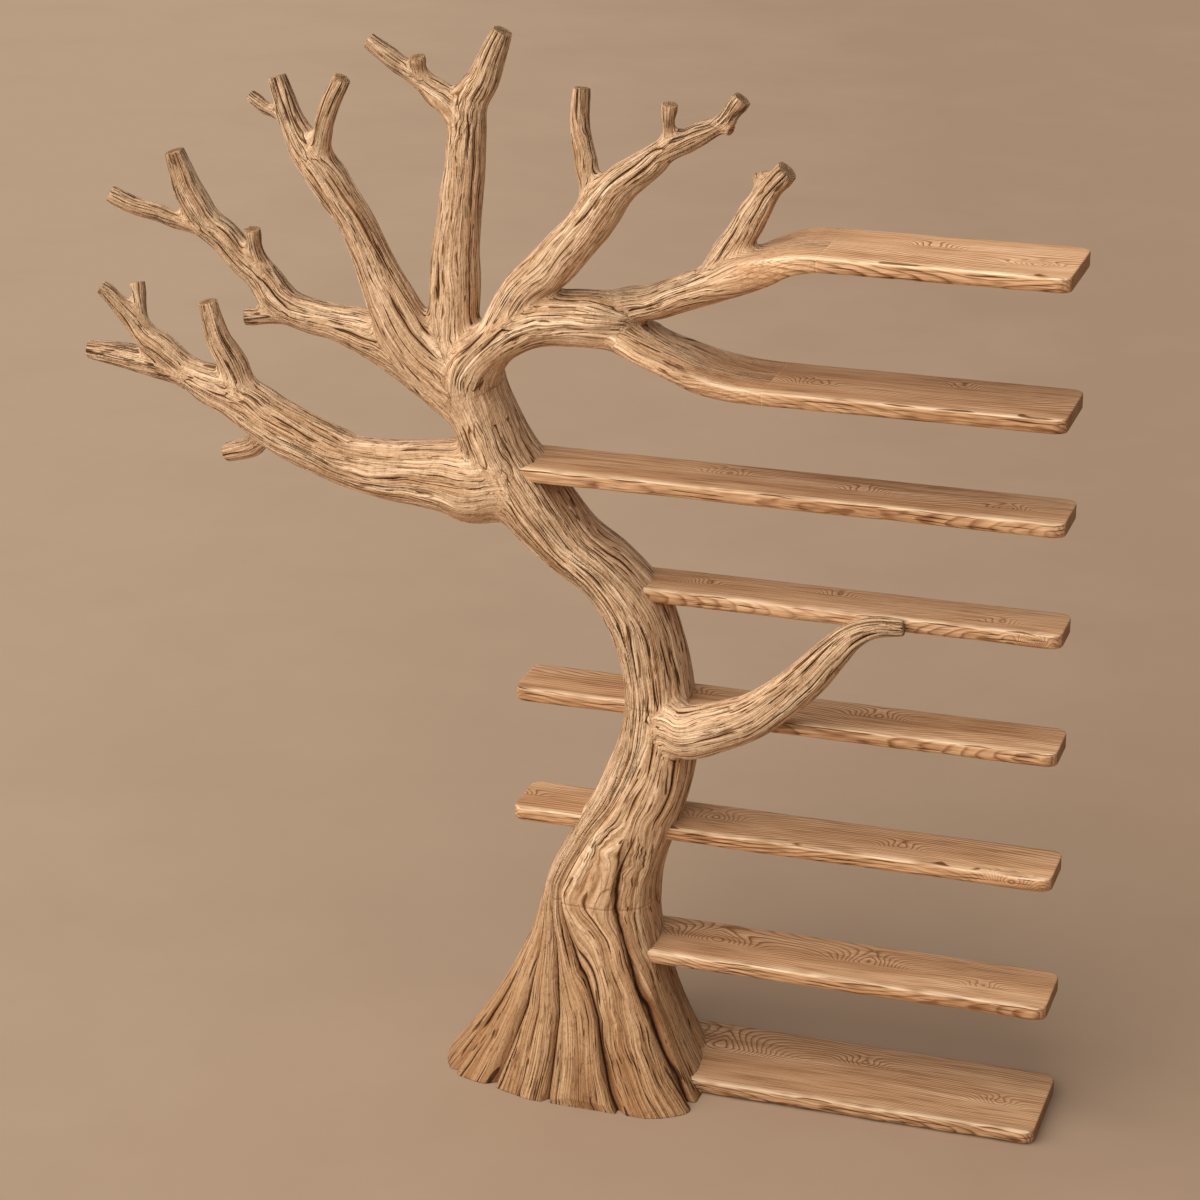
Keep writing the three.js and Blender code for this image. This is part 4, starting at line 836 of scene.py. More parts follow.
def heights_over(points):
    """The height of points over each timber's surface, and which of them lie at a cut end"""
    heights = np.full((len(timbers), len(points)), 1.0, np.float32)
    tips = np.zeros(len(points))
    for number, (name, timber) in enumerate(timbers.items()):
        flat_rings = timber.rings.reshape(-1, 3)
        low = flat_rings.min(0) - 0.05
        high = flat_rings.max(0) + 0.05
        inside = np.flatnonzero(((points > low) & (points < high)).all(1))
        along, flat, turn, height, girth = timber.settle(points[inside])
        heights[number, inside] = height
        if name in OPEN_ENDED:
            near_end = (timber.length - along < 0.01) & (height < 0.006)
            tips[inside[near_end]] = 1
    return heights, tips


def flute_scores(points, best):
    """The signed distance of points to the closest flute, and how open that flute is there"""
    score = np.tile([CRACK_REACH, 0.0], (len(points), 1))
    fluted = np.flatnonzero((best == 0) & (points[:, 2] < 0.7))
    height = points[fluted, 2] / MM
    flat, turn = trunk.settle(points[fluted])[1:3]
    radius = np.linalg.norm(flat, axis=1)
    closest = np.full(len(fluted), FAR)
    for number, (angle, shape) in enumerate(FLUTES):
        swing = (np.degrees(turn) - angle + 180) % 360 - 180
        gap = np.radians(swing) * radius
        nearer = np.abs(gap) < closest
        closest[nearer] = np.abs(gap[nearer])
        depth = np.clip(read_rows(shape, height, 1) / 12, 0, 1)
        width = read_rows(shape, height, 2) / 9
        side = 1 if number % 2 == 0 else -1
        score[fluted[nearer]] = np.stack([gap * side, depth * width], 1)[nearer]
    score[:, 0] = np.clip(score[:, 0], -CRACK_REACH, CRACK_REACH)
    return score


def dress_tree():
    """Carves the fused skin, and says for each of its points which timber it is and how the grain runs"""
    tree = fused_tree()
    mesh = tree.data
    points = read(mesh.vertices, "co", 3, np.float32).astype(float)
    edges = read(mesh.edges, "vertices", 2, np.int32)
    names = list(timbers)
    count = len(points)
    heights, tips = heights_over(points)
    second = np.partition(heights, 1, axis=0)[1]
    best = np.argmin(heights, axis=0)
    crotch = np.clip(1 - (second - 0.003) / 0.03, 0, 1) * (1 - tips)
    crotch[points[:, 1] > (BACK_PLANE - 3) * MM] = 0
    points = smooth_where(points, edges, crotch, int(SMOOTHING / VOXEL ** 2))
    points = smooth_where(points, edges, np.full(count, 0.5) * (1 - tips), 2)
    best = settle_labels(best, edges, 14)
    mesh.vertices.foreach_set("co", points.astype(np.float32).ravel())
    mesh.update()
    normals = read(mesh.vertex_normals, "vector", 3, np.float32).astype(float)

    weight = np.full(count, 1e-9)
    fields = np.zeros((count, 6))
    shares = np.zeros((len(names), count), np.float32)
    spots = np.zeros((len(names), count), np.int32)
    grains = []
    planed, plank_of, cut_end, rings, worn, fan = (np.zeros(count) for number in range(6))
    least = heights.min(0)
    for number, name in enumerate(names):
        near = np.flatnonzero(heights[number] - least < GRAIN_REACH)
        timber = timbers[name]
        along, flat, turn, height, girth = timber.settle(points[near])
        grain, made = relief(timber, along, turn, girth, number * 13 + 5)
        share = np.exp(-(heights[number, near] - least[near]) / GRAIN_FADE) + 1e-9
        fields[near] += made * share[:, None]
        weight[near] += share
        planed[near] += np.interp(along, timber.arc, timber.planed) * share
        if timber.planed.any():
            plank_of[near] = timber.board
            heart, half = (np.stack([np.interp(along, timber.arc, table[:, side]) for side in range(2)], 1)
                           for table in (timber.heart, timber.half))
            down, inward = (flat + heart + half).T
            # The arms' upper arris gets the boards' paler worn edge with a painted highlight
            arris = np.exp(-((down - 0.0024) / 0.0026) ** 2) * soft_step(0.024, 0.01, inward)
            worn[near] += arris * share
        fan[near] += girth / timber.typical * share
        shares[number, near] = share ** 2
        spots[number, near] = np.arange(len(near))
        grains.append(grain)
        if name in OPEN_ENDED:
            last = (timber.length - along < 0.7 * VOXEL) & (best[near] == number)
            cut_end[near[last & ((normals[near] * timber.along[-1]).sum(1) > 0.6)]] = 1
        own = best[near] == number
        rings[near[own]] = np.linalg.norm(flat[own], axis=1)
    graft = 1 - shares.max(0) / np.maximum(shares.sum(0), 1e-9)
    fields /= weight[:, None]
    planed /= weight
    fan /= weight
    worn *= planed / weight
    height, ridge, fissure, fissure_gate, check, check_gate = fields.T
    ridge[weight < 1e-6] = 0.5
    rough = 1 - planed * 0.9
    clear = 1 - soft_step(0.15, 0.45, graft)
    ridge = 0.52 + (ridge - 0.52) * (1 - soft_step(0.1, 0.5, graft) * 0.7)
    fissure_gate = fissure_gate * clear
    check_gate = check_gate * clear
    groove = 1 - soft_step(0.0, 1.0, np.abs(fissure) / (0.0036 * fissure_gate + 0.0004))
    size = np.clip(rings / 0.045, 0.35, 1.1)
    rise = height - groove * fissure_gate * 0.003 * size + 0.0007
    # The relief shading is also darker towards the floor
    foot = soft_step(0.42, 0.0, points[:, 2])
    ridge -= foot * 0.1
    rise *= rough

    # The flat back, the floor and the cut ends stay plain
    back = soft_step((BACK_PLANE - 14) * MM, (BACK_PLANE - 2) * MM, points[:, 1])
    calm = (1 - back) * soft_step(0.0, 0.012, points[:, 2]) * (1 - tips * 0.6) * (1 - cut_end)
    rise *= calm
    seam = np.zeros(count)
    for level in (LOWER_SEAM * MM, UPPER_SEAM * MM):
        gap = np.abs(points[:, 2] - level)
        seam = np.maximum(seam, (1 - soft_step(0.0005, 0.0028, gap)) * (best == 0) * (1 - back))
    rise -= seam * 0.001
    moved = points + normals * rise[:, None]
    moved[:, 1] = np.minimum(moved[:, 1], (BACK_PLANE - 1.2) * MM)
    moved[:, 2] = np.maximum(moved[:, 2], 0)
    moved = np.clip(moved, np.array(cad_box[0]) + 0.0005, np.array(cad_box[1]) - 0.0005)
    moved[points[:, 2] < 0.001, 2] = 0
    mesh.vertices.foreach_set("co", moved.astype(np.float32).ravel())

    plank_of = plank_of.astype(int)
    shifts = np.stack([board_shift(number) for number in range(len(ARMS))])
    made = {
        "ridge": ridge, "fan": fan, "cut_end": cut_end, "rings": rings, "worn": worn,
        "tone": np.array(BOARD_TONE_AND_LIGHT)[plank_of],
        "plank": moved + shifts[plank_of],
        "lines": np.stack([fissure, check, planed], 1),
        "score": np.column_stack([flute_scores(points, best), seam]),
        "gates": np.stack([fissure_gate * rough * (1 - back), check_gate * rough, planed], 1),
    }
    for label, values in made.items():
        add_field(mesh, label, values)
    mesh.attributes.new("point", "INT", "POINT").data.foreach_set("value", np.arange(count, dtype=np.int32))
    mesh.update()
    add_field(mesh, "facing", read(mesh.vertex_normals, "vector", 3, np.float32))
    return tree, best, (shares, spots, grains)


def lay_grain(part, own, woods):
    """Gives a piece the grain of its own timber, and of the next one where the two grow together"""
    shares, spots, grains = woods
    mesh = part.data
    index = read(mesh.attributes["point"].data, "value", 1, np.int32)
    others = shares[:, index].copy()
    mine = others[own].copy()
    others[own] = 0
    second = others.argmax(0)
    rival = others[second, np.arange(len(index))]
    grain_a = grains[own][spots[own, index]]
    grain_b = grain_a.copy()
    for number in np.unique(second[rival > 0]):
        here = (second == number) & (rival > 0)
        grain_b[here] = grains[number][spots[number, index[here]]]
    add_field(mesh, "grain_a", grain_a)
    add_field(mesh, "grain_b", grain_b)
    add_field(mesh, "graft", rival / np.maximum(rival + mine, 1e-9))
    mesh.attributes.remove(mesh.attributes["point"])


def split_tree(tree, best, woods):
    """Parts the skin into one closed piece for each timber, and the trunk at its two seams"""
    mesh = tree.data
    names = list(timbers)
    corners = read(mesh.polygons, "loop_start", 1, np.int32)
    loops = read(mesh.loops, "vertex_index", 1, np.int32)
    lead = loops[corners]
    owner = best[lead]
    level = read(mesh.vertices, "co", 3, np.float32)[lead, 2]
    piece_names = ["root_flare", "lower_trunk", "upper_trunk"] + names[1:]
    owner[owner == names.index("crown")] = 0
    piece = np.where(owner == 0, np.digitize(level, [LOWER_SEAM * MM, UPPER_SEAM * MM]), owner + 2)
    labels = [bpy.data.materials.new("part " + name) for name in piece_names]
    for label in labels:
        mesh.materials.append(label)
    mesh.polygons.foreach_set("material_index", piece.astype(np.int32))
    mesh.update()
    before = set(bpy.data.objects)
    bpy.ops.object.select_all(action="DESELECT")
    tree.select_set(True)
    bpy.context.view_layer.objects.active = tree
    bpy.ops.mesh.separate(type="MATERIAL")
    parts = {}
    for part in [thing for thing in bpy.data.objects if thing not in before or thing is tree]:
        index = part.data.polygons[0].material_index
        own = part.data.materials[index if len(part.data.materials) > 1 else 0]
        parts[own.name.removeprefix("part ")] = part
        part.data.materials.clear()
    for label in labels:
        bpy.data.materials.remove(label)
    for name, part in parts.items():
        lay_grain(part, names.index(name) if name in names else 0, woods)
        skin = bmesh.new()
        skin.from_mesh(part.data)
        # The flat sole needs no small faces
        sole = [edge for edge in skin.edges if max(vert.co.z for vert in edge.verts) < 1e-6]
        bmesh.ops.dissolve_limit(skin, angle_limit=0.001, edges=sole, verts=[])
        # A lip goes in from each cut, and a face closes it
        facing = skin.verts.layers.float_vector["facing"]
        rim = [edge for edge in skin.edges if edge.is_boundary]
        made = bmesh.ops.extrude_edge_only(skin, edges=rim)["geom"]
        for thing in made:
            if isinstance(thing, bmesh.types.BMVert):
                thing.co -= thing[facing] * WALL
        inner = [thing for thing in made if isinstance(thing, bmesh.types.BMEdge) and thing.is_boundary]
        bmesh.ops.holes_fill(skin, edges=inner, sides=0)
        skin.to_mesh(part.data)
        skin.free()
        part.data.shade_smooth()
        facing = read(part.data.attributes["facing"].data, "vector", 3, np.float32)
        part.data.normals_split_custom_set_from_vertices(facing.tolist())
        part.data.attributes.remove(part.data.attributes["facing"])
    return parts


# Boards

def corner_inset(distance, radius):
    """How far a rounded corner pulls an edge in at a distance from the end"""
    gap = np.clip(distance, 0, radius)
    return radius - np.sqrt(np.maximum(radius ** 2 - (radius - gap) ** 2, 0))


def dress_board(name, number):
    """A board: stations along it, then its waves, cracks, chips and knots"""
    top, depth, end, start = BOARDS[name]
    front = BACK_PLANE - depth
    middle = top - BOARD_THICKNESS / 2
    left_end = start is not None and start < 0
    from_arm = start is not None and not left_end
    if from_arm:
        begin = start - 0.5
    else:
        begin = trunk_across(middle) + (start if left_end else -5)
    core = np.arange(begin + (CORNER if left_end else 0), end - CORNER, BOARD_STEP)
    curve = CORNER * (1 - np.cos(np.linspace(0, math.pi / 2, 16)))
    places = np.concatenate([begin + curve if left_end else [], core, end - curve[::-1]])
    places = np.unique(np.round(places, 3))
    rings = []
    for x in places:
        left_gap = x - begin if left_end else end
        inset, ease = (corner_inset(end - x, radius) + corner_inset(left_gap, radius)
                       for radius in (CORNER, EASE))
        section = board_outline(front + inset + ease * 0.3, BACK_PLANE - 0.7 - inset - ease * 0.3,
                                top - BOARD_THICKNESS, top)
        section[:, 1] = middle + (section[:, 1] - middle) * (1 - ease / 22)
        rings.append(np.stack([np.full(len(section), x), section[:, 0], section[:, 1]], 1))
    rings = np.array(rings) * MM
    flat = rings.reshape(-1, 3)
    seed = 200 + number * 7
    place = flat + board_shift(number)

    def waves(across, inward, upward, own_seed):
        return noise(place * np.array([across, inward, upward]), seed + own_seed)

    # The front edge wanders, and cracks run along it in lanes
    grown = soft_step(0.0, 0.07, flat[:, 0] - begin * MM) if from_arm else 1.0
    toward_front = soft_step(0.026, 0.004, flat[:, 1] - front * MM) * grown
    wander = waves(4.5, 0.1, 0.1, 0) * 0.0034 + waves(14, 0.1, 6, 1) * 0.0013
    facet = waves(34, 1, 100, 2) * 0.0014
    lane = (flat[:, 2] + waves(11, 1, 1, 8) * 0.003) / EDGE_LANE
    fissure = np.sin(math.pi * lane) * EDGE_LANE / math.pi
    runs = np.stack([flat[:, 0] / 0.09, np.round(lane) * 7.31, np.zeros(len(flat))], 1)
    gate = soft_step(0.0, 0.4, noise(runs, seed + 4)) * toward_front
    groove = (1 - soft_step(0.0, 1.0, np.abs(fissure) / (0.0026 * gate + 0.0003))) * gate
    flat[:, 1] += np.maximum(wander + facet + 0.0014, -0.0004) * toward_front + groove * 0.0018

    # The upper arris is chipped, worn paler and given a painted highlight, and the top isn't quite even
    inward = flat[:, 1] - front * MM
    chip = soft_step(0.15, 0.5, waves(30, 1, 1, 9)) * soft_step(0.012, 0.002, inward)
    flat[:, 2] -= chip * soft_step((top - 5) * MM, (top - 1) * MM, flat[:, 2]) * 0.0012 * grown
    on_top = soft_step((top - 3) * MM, (top - 0.5) * MM, flat[:, 2])
    flat[:, 2] -= on_top * (0.0004 + 0.0004 * waves(6, 16, 1, 5)) * grown
    arris = np.exp(-((flat[:, 2] - (top - 1.8) * MM) / 0.0022) ** 2) * soft_step(0.02, 0.009, inward)
    swirl = np.zeros(len(flat))
    for along, across, size in BOARD_KNOTS[name]:
        spot = np.array([along, front + depth * across]) * MM
        away = np.abs(flat[:, :2] - spot) / (np.array([1.6, 1.0]) * size * MM)
        swirl += np.exp(-(away ** 1.3).sum(1) ** (2 / 1.3)) * size / 30
    for along, size in EDGE_KNOTS.get(name, []):
        away = np.hypot((flat[:, 0] - along * MM) / 1.6, flat[:, 2] - (middle - 2) * MM) / (size * MM)
        bump = np.exp(-away ** 2) * toward_front
        swirl += bump * 1.3
        flat[:, 1] -= bump * 0.002
    values = {
        # Painted shade on the facets of the live front edge
        "ridge": 0.5 + waves(24, 1, 130, 6) * 0.34 * toward_front,
        "worn": arris * (0.85 + 0.35 * waves(16, 1, 1, 7) * grown),
        "swirl": swirl,
        "tone": np.full(len(flat), BOARD_TONE_AND_LIGHT[number]),
        "lines": np.stack([fissure, gate, np.zeros(len(flat))], 1),
    }
    mesh = baked(loft(flat.reshape(rings.shape)), name)
    board = new_object(name + "_board", mesh)
    order = read(mesh.attributes["order"].data, "value", 1, np.int32)
    points = read(mesh.vertices, "co", 3, np.float32)
    station = np.clip(np.searchsorted(places * MM, points[:, 0] - 1e-5), 0, len(places) - 1)
    index = station * rings.shape[1] + order
    for key, value in values.items():
        add_field(mesh, key, value[index])
    add_field(mesh, "cut_end", (np.abs(points[:, 0] - end * MM) < 0.0012).astype(float))
    add_field(mesh, "plank", points + board_shift(number))
    mesh.attributes.remove(mesh.attributes["order"])
    mesh.shade_smooth()
    return board


# Materials

def srgb(red, green, blue):
    """A colour from its everyday 0 to 255 values"""
    def linear(value):
        share = value / 255
        return share / 12.92 if share <= 0.04045 else ((share + 0.055) / 1.055) ** 2.4
    return (linear(red), linear(green), linear(blue), 1.0)


class Finish:
    """A material and short ways to add its nodes"""

    def __init__(self, name):
        self.material = bpy.data.materials.new(name)
        self.material.use_nodes = True
        self.tree = self.material.node_tree
        self.shader = self.tree.nodes["Principled BSDF"]

    def node(self, kind, **settings):
        made = self.tree.nodes.new(kind)
        for key, value in settings.items():
            setattr(made, key, value)
        return made

    def link(self, source, target):
        self.tree.links.new(source, target)

    def put(self, socket, value):
        if isinstance(value, bpy.types.NodeSocket):
            self.link(value, socket)
        else:
            socket.default_value = value

    def number(self, name):
        """A number stored with the points"""
        return self.node("ShaderNodeAttribute", attribute_name=name).outputs["Fac"]

    def vector(self, name):
        """A vector stored with the points"""
        return self.node("ShaderNodeAttribute", attribute_name=name).outputs["Vector"]

    def place(self):
        return self.node("ShaderNodeTexCoord").outputs["Object"]

    def apart(self, vector):
        """The three parts of a vector"""
        made = self.node("ShaderNodeSeparateXYZ")
        self.link(vector, made.inputs[0])
        return made.outputs[0], made.outputs[1], made.outputs[2]

    def math(self, operation, one, other=0.0, third=0.0, clamp=False):
        made = self.node("ShaderNodeMath", operation=operation, use_clamp=clamp)
        for socket, value in zip(made.inputs, (one, other, third)):
            self.put(socket, value)
        return made.outputs[0]

    def times(self, one, other, clamp=False):
        return self.math("MULTIPLY", one, other, clamp=clamp)

    def most(self, *values):
        """The largest of several values"""
        largest = values[0]
        for value in values[1:]:
            largest = self.math("MAXIMUM", largest, value)
        return largest

    def scaled(self, vector, scale):
        made = self.node("ShaderNodeVectorMath", operation="MULTIPLY")
        self.put(made.inputs[0], vector)
        made.inputs[1].default_value = scale
        return made.outputs[0]

    def noise(self, vector, scale, detail=2.0, roughness=0.5):
        """Noise whose cells are one over the scale in metres"""
        made = self.node("ShaderNodeTexNoise")
        self.put(made.inputs["Vector"], self.scaled(vector, scale))
        made.inputs["Scale"].default_value = 1.0
        made.inputs["Detail"].default_value = detail
        made.inputs["Roughness"].default_value = roughness
        return made.outputs["Fac"]

    def ramp(self, value, stops):
        made = self.node("ShaderNodeValToRGB")
        self.put(made.inputs[0], value)
        points = made.color_ramp.elements
        while len(points) < len(stops):
            points.new(0.5)
        for point, (place, colour) in zip(points, stops):
            point.position = place
            point.color = colour
        return made.outputs[0]

    def level(self, value, stops):
        """A ramp of grey levels"""
        return self.ramp(value, [(place, (grey, grey, grey, 1.0)) for place, grey in stops])

    def warm(self, value, stops):
        """A ramp of shades to multiply by, which turn browner as they darken"""
        steps = [(low + (high - low) * part, dim + (bright - dim) * part)
                 for (low, dim), (high, bright) in zip(stops, stops[1:]) for part in (0.0, 0.25, 0.5, 0.75)]
        steps += stops[-1:]
        return self.ramp(value, [(place, (grey ** 0.78, grey, grey ** 1.3, 1.0)) for place, grey in steps])

    def mix(self, share, one, other, blend="MIX"):
        made = self.node("ShaderNodeMix", data_type="RGBA", blend_type=blend)
        self.put(made.inputs[0], share)
        self.put(made.inputs[6], one)
        self.put(made.inputs[7], other)
        return made.outputs[2]

    def blend(self, share, one, other):
        """A number between two others"""
        made = self.node("ShaderNodeMix", data_type="FLOAT")
        self.put(made.inputs[0], share)
        self.put(made.inputs[2], one)
        self.put(made.inputs[3], other)
        return made.outputs[0]

    def shaded(self, colour, strength, value, stops):
        """A colour under a ramp of warm shades"""
        return self.mix(strength, colour, self.warm(value, stops), "MULTIPLY")

    def bump(self, height, distance, strength, normal=None):
        made = self.node("ShaderNodeBump")
        made.inputs["Strength"].default_value = strength
        made.inputs["Distance"].default_value = distance
        self.put(made.inputs["Height"], height)
        if normal is not None:
            self.put(made.inputs["Normal"], normal)
        return made.outputs[0]

    def done(self, colour, roughness, normal, **settings):
        """Wires up the shader and hands over the material"""
        self.put(self.shader.inputs["Base Color"], colour)
        self.put(self.shader.inputs["Roughness"], roughness)
        if normal is not None:
            self.put(self.shader.inputs["Normal"], normal)
        for label, value in settings.items():
            self.shader.inputs[label.replace("_", " ")].default_value = value
        return self.material


def thin_line(wood, distance, gate, width, strength):
    """A dark line where a distance is near nothing, as wide as its gate lets it be"""
    room = wood.math("MULTIPLY_ADD", gate, width, 0.0001)
    across = wood.math("DIVIDE", wood.math("ABSOLUTE", distance), room)
    line = wood.level(across, [(0.35, strength), (1.0, 0.0)])
    return wood.times(line, wood.level(gate, [(0.04, 0.0), (0.2, 1.0)]))


RINGS_PER_METRE = 140.0


def board_colour(wood, fibre):
    """Growth rings cut along the log: straight lines, long arches and swirls round the knots"""
    plank = wood.vector("plank")
    across, upward = wood.apart(plank)[1:]
    slow = wood.noise(plank, (1.1, 3.0, 3.0), detail=1.0, roughness=0.4)
    quick = wood.noise(plank, (7.0, 26.0, 26.0))
    swirl = wood.number("swirl")
    away = across
    for bend, amount in ((slow, 0.3), (swirl, 0.05), (quick, 0.012)):
        away = wood.math("ADD", away, wood.times(bend, amount))
    away = wood.math("MULTIPLY_ADD", upward, 0.7, away)
    ring = wood.math("FRACT", wood.times(away, RINGS_PER_METRE))
    late = wood.level(ring, [(0.0, 0.1), (0.5, 0.25), (0.82, 1.0), (1.0, 0.1)])
    figure = wood.noise(plank, (2.0, 22.0, 22.0))
    colour = wood.ramp(figure, [
        (0.3, srgb(196, 151, 111)), (0.5, srgb(216, 172, 130)), (0.7, srgb(233, 192, 152))])
    strength = wood.level(wood.noise(plank, (3.0, 9.0, 9.0), detail=0.0), [(0.3, 0.5), (0.65, 0.95)])
    strength = wood.math("MULTIPLY_ADD", swirl, 0.35, strength, clamp=True)
    colour = wood.mix(wood.times(late, strength), colour, srgb(132, 82, 44))
    colour = wood.shaded(colour, 0.6, fibre, [(0.3, 0.7), (0.5, 0.96), (0.7, 1.0)])
    pore = wood.noise(plank, (9.0, 240.0, 240.0), detail=1.0, roughness=0.6)
    colour = wood.shaded(colour, 0.9, pore, [(0.3, 0.5), (0.5, 0.96), (0.62, 1.0)])
    # A paler worn arris with a painted highlight along it
    worn = wood.times(wood.number("worn"), wood.level(pore, [(0.3, 0.2), (0.5, 0.85)]))
    colour = wood.mix(wood.times(worn, 0.8, clamp=True), colour, srgb(248, 222, 188))
    return wood.mix(1.0, colour, wood.number("tone"), "MULTIPLY")


def limb_finish():
    """Debarked, oiled driftwood: streaks and hairlines along the grain, dark cracks, painted highlights on
    the ridges, and painted shade in the hollows, beside the cracks and in the flutes
    """
    wood = Finish("limb_wood")
    grains = [wood.vector("grain_a"), wood.vector("grain_b")]
    graft = wood.number("graft")
    spread = wood.math("MULTIPLY_ADD", wood.number("fan"), 0.7, -0.75, clamp=True)
    fissure, check = wood.apart(wood.vector("lines"))[:2]
    fissure_gate, check_gate, planed = wood.apart(wood.vector("gates"))
    flute, flute_gate, seam = wood.apart(wood.vector("score"))

    def grafted(along, across, **settings):
        """Noise in a timber's grain, which turns into its neighbour's where the two have grown together"""
        scale = (along, across, across)
        return wood.blend(graft, *(wood.noise(grain, scale, **settings) for grain in grains))

    def drawn(along, coarse, fine, **settings):
        """Streaks that stay as fine where the root flare spreads the grain"""
        return wood.blend(spread, grafted(along, coarse, **settings), grafted(along, fine, **settings))

    figure = grafted(2.6, 46.0, detail=3.0, roughness=0.6)
    colour = wood.ramp(figure, [
        (0.28, srgb(228, 186, 147)), (0.44, srgb(243, 207, 171)), (0.56, srgb(250, 218, 184)),
        (0.74, srgb(255, 229, 200))])
    fibre = drawn(10.0, 300.0, 820.0, detail=1.0, roughness=0.6)
    strand = drawn(5.5, 205.0, 560.0, detail=1.0, roughness=0.6)
    nick = wood.level(drawn(22.0, 240.0, 460.0, detail=1.0, roughness=0.5), [(0.65, 0.0), (0.69, 1.0)])
    vein = wood.math("ABSOLUTE", wood.math("SUBTRACT", strand, 0.5))
    ridge = wood.number("ridge")
    rings = wood.number("rings")
    place = wood.place()
    weather = wood.noise(place, (80.0, 80.0, 60.0), detail=3.0, roughness=0.75)
    # Streaks, veins, fibre and weathering are the wood's own; the relief shading is painted shade in the
    # hollows; the wood also gets darker towards the floor and a little darker where the timber is thick
    for strength, value, stops in (
            (0.7, strand, [(0.34, 0.5), (0.52, 1.0)]),
            (0.85, vein, [(0.0, 0.4), (0.028, 0.8), (0.07, 1.0)]),
            (0.85, fibre, [(0.32, 0.45), (0.46, 0.86), (0.58, 1.0)]),
            (0.9, ridge, [(0.05, 0.28), (0.4, 0.8), (0.6, 1.0)]),
            (1.0, wood.apart(place)[2], [(0.0, 0.52), (0.22, 0.66), (0.46, 1.0)]),
            (1.0, rings, [(0.03, 1.0), (0.09, 0.9)]),
            (0.8, weather, [(0.28, 0.5), (0.48, 1.0)])):
        colour = wood.shaded(colour, strength, value, stops)
    # Painted highlight on the ridges
    colour = wood.mix(wood.level(ridge, [(0.62, 0.0), (1.0, 0.45)]), colour, srgb(246, 216, 178))
    hair = wood.math("ABSOLUTE", wood.math("SUBTRACT", grafted(5.5, 105.0, detail=1.0), 0.5))
    hair_gate = wood.level(grafted(7.0, 30.0, detail=1.0), [(0.42, 0.0), (0.62, 1.0)])
    hair = wood.times(wood.level(hair, [(0.0, 1.0), (0.022, 0.0)]), hair_gate)
    colour = wood.mix(wood.times(hair, 0.75), colour, srgb(104, 62, 32))

    # Painted shade beside the cracks, and painted shadow in the flutes
    crack_shade = thin_line(wood, fissure, fissure_gate, 0.004, 0.35)
    shadow = thin_line(wood, flute, flute_gate, 0.012, 0.55)
    colour = wood.mix(wood.most(crack_shade, shadow), colour, srgb(118, 70, 34))
    # Dark cracks, checks, nicks and seams, and a painted shadow line along the bottom of each flute
    dark = wood.most(
        thin_line(wood, fissure, fissure_gate, 0.0016, 0.96),
        thin_line(wood, check, check_gate, 0.0012, 0.85),
        thin_line(wood, flute, flute_gate, 0.004, 0.97),
        wood.times(nick, 0.85), wood.times(seam, 0.3, clamp=True))
    colour = wood.shaded(colour, 1.0, dark, [(0.0, 1.0), (1.0, 0.03)])
    colour = wood.mix(planed, colour, board_colour(wood, fibre))

    ring = wood.math("SINE", wood.times(rings, 1500.0))
    cut_tone = wood.ramp(wood.math("MULTIPLY_ADD", ring, 0.35, fibre), [
        (0.2, srgb(126, 88, 56)), (0.8, srgb(206, 164, 122))])
    colour = wood.mix(wood.number("cut_end"), colour, cut_tone)
    normal = None
    for height, distance, strength in (
            (fibre, 0.0022, 0.9), (strand, 0.0045, 0.85), (weather, 0.004, 0.8),
            (wood.times(hair, -1.0), 0.0008, 0.8), (wood.times(dark, -1.0), 0.0015, 0.9)):
        normal = wood.bump(height, distance, strength, normal)
    roughness = wood.level(fibre, [(0.2, 0.76), (0.8, 0.62)])
    return wood.done(colour, roughness, normal, Specular_IOR_Level=0.15)


def board_finish():
    """Planed and oiled boards: drawn-out growth rings on the faces, a paler worn front edge with a painted
    highlight, and painted shade on the live edge's facets
    """
    wood = Finish("board_wood")
    fibre = wood.noise(wood.vector("plank"), (9.0, 330.0, 330.0), detail=2.0, roughness=0.65)
    ridge = wood.number("ridge")
    fissure, gate = wood.apart(wood.vector("lines"))[:2]
    dark = thin_line(wood, fissure, gate, 0.0013, 0.85)
    # Painted shade on the facets of the live edge
    colour = wood.shaded(board_colour(wood, fibre), 0.9, ridge, [(0.15, 0.45), (0.5, 1.0)])
    colour = wood.shaded(colour, 1.0, dark, [(0.0, 1.0), (1.0, 0.06)])
    colour = wood.mix(wood.times(wood.number("cut_end"), 0.6), colour, srgb(118, 78, 46))
    normal = wood.bump(ridge, 0.0028, 0.8, wood.bump(fibre, 0.0008, 0.8))
    normal = wood.bump(wood.times(dark, -1.0), 0.0012, 0.8, normal)
    roughness = wood.level(fibre, [(0.2, 0.76), (0.8, 0.62)])
    return wood.done(colour, roughness, normal, Specular_IOR_Level=0.14)


def dowel_finish():
    """Turned hardwood: fine, even fibre"""
    wood = Finish("dowel_wood")
    place = wood.place()
    fibre = wood.noise(place, (160.0, 160.0, 160.0), detail=3.0, roughness=0.65)
    broad = wood.noise(place, (22.0, 22.0, 22.0))
    colour = wood.ramp(broad, [(0.3, srgb(176, 138, 96)), (0.7, srgb(214, 180, 136))])
    colour = wood.mix(0.6, colour, wood.level(fibre, [(0.3, 0.7), (0.65, 1.0)]), "MULTIPLY")
    roughness = wood.level(fibre, [(0.2, 0.75), (0.8, 0.6)])
    return wood.done(colour, roughness, wood.bump(fibre, 0.0003, 0.6))


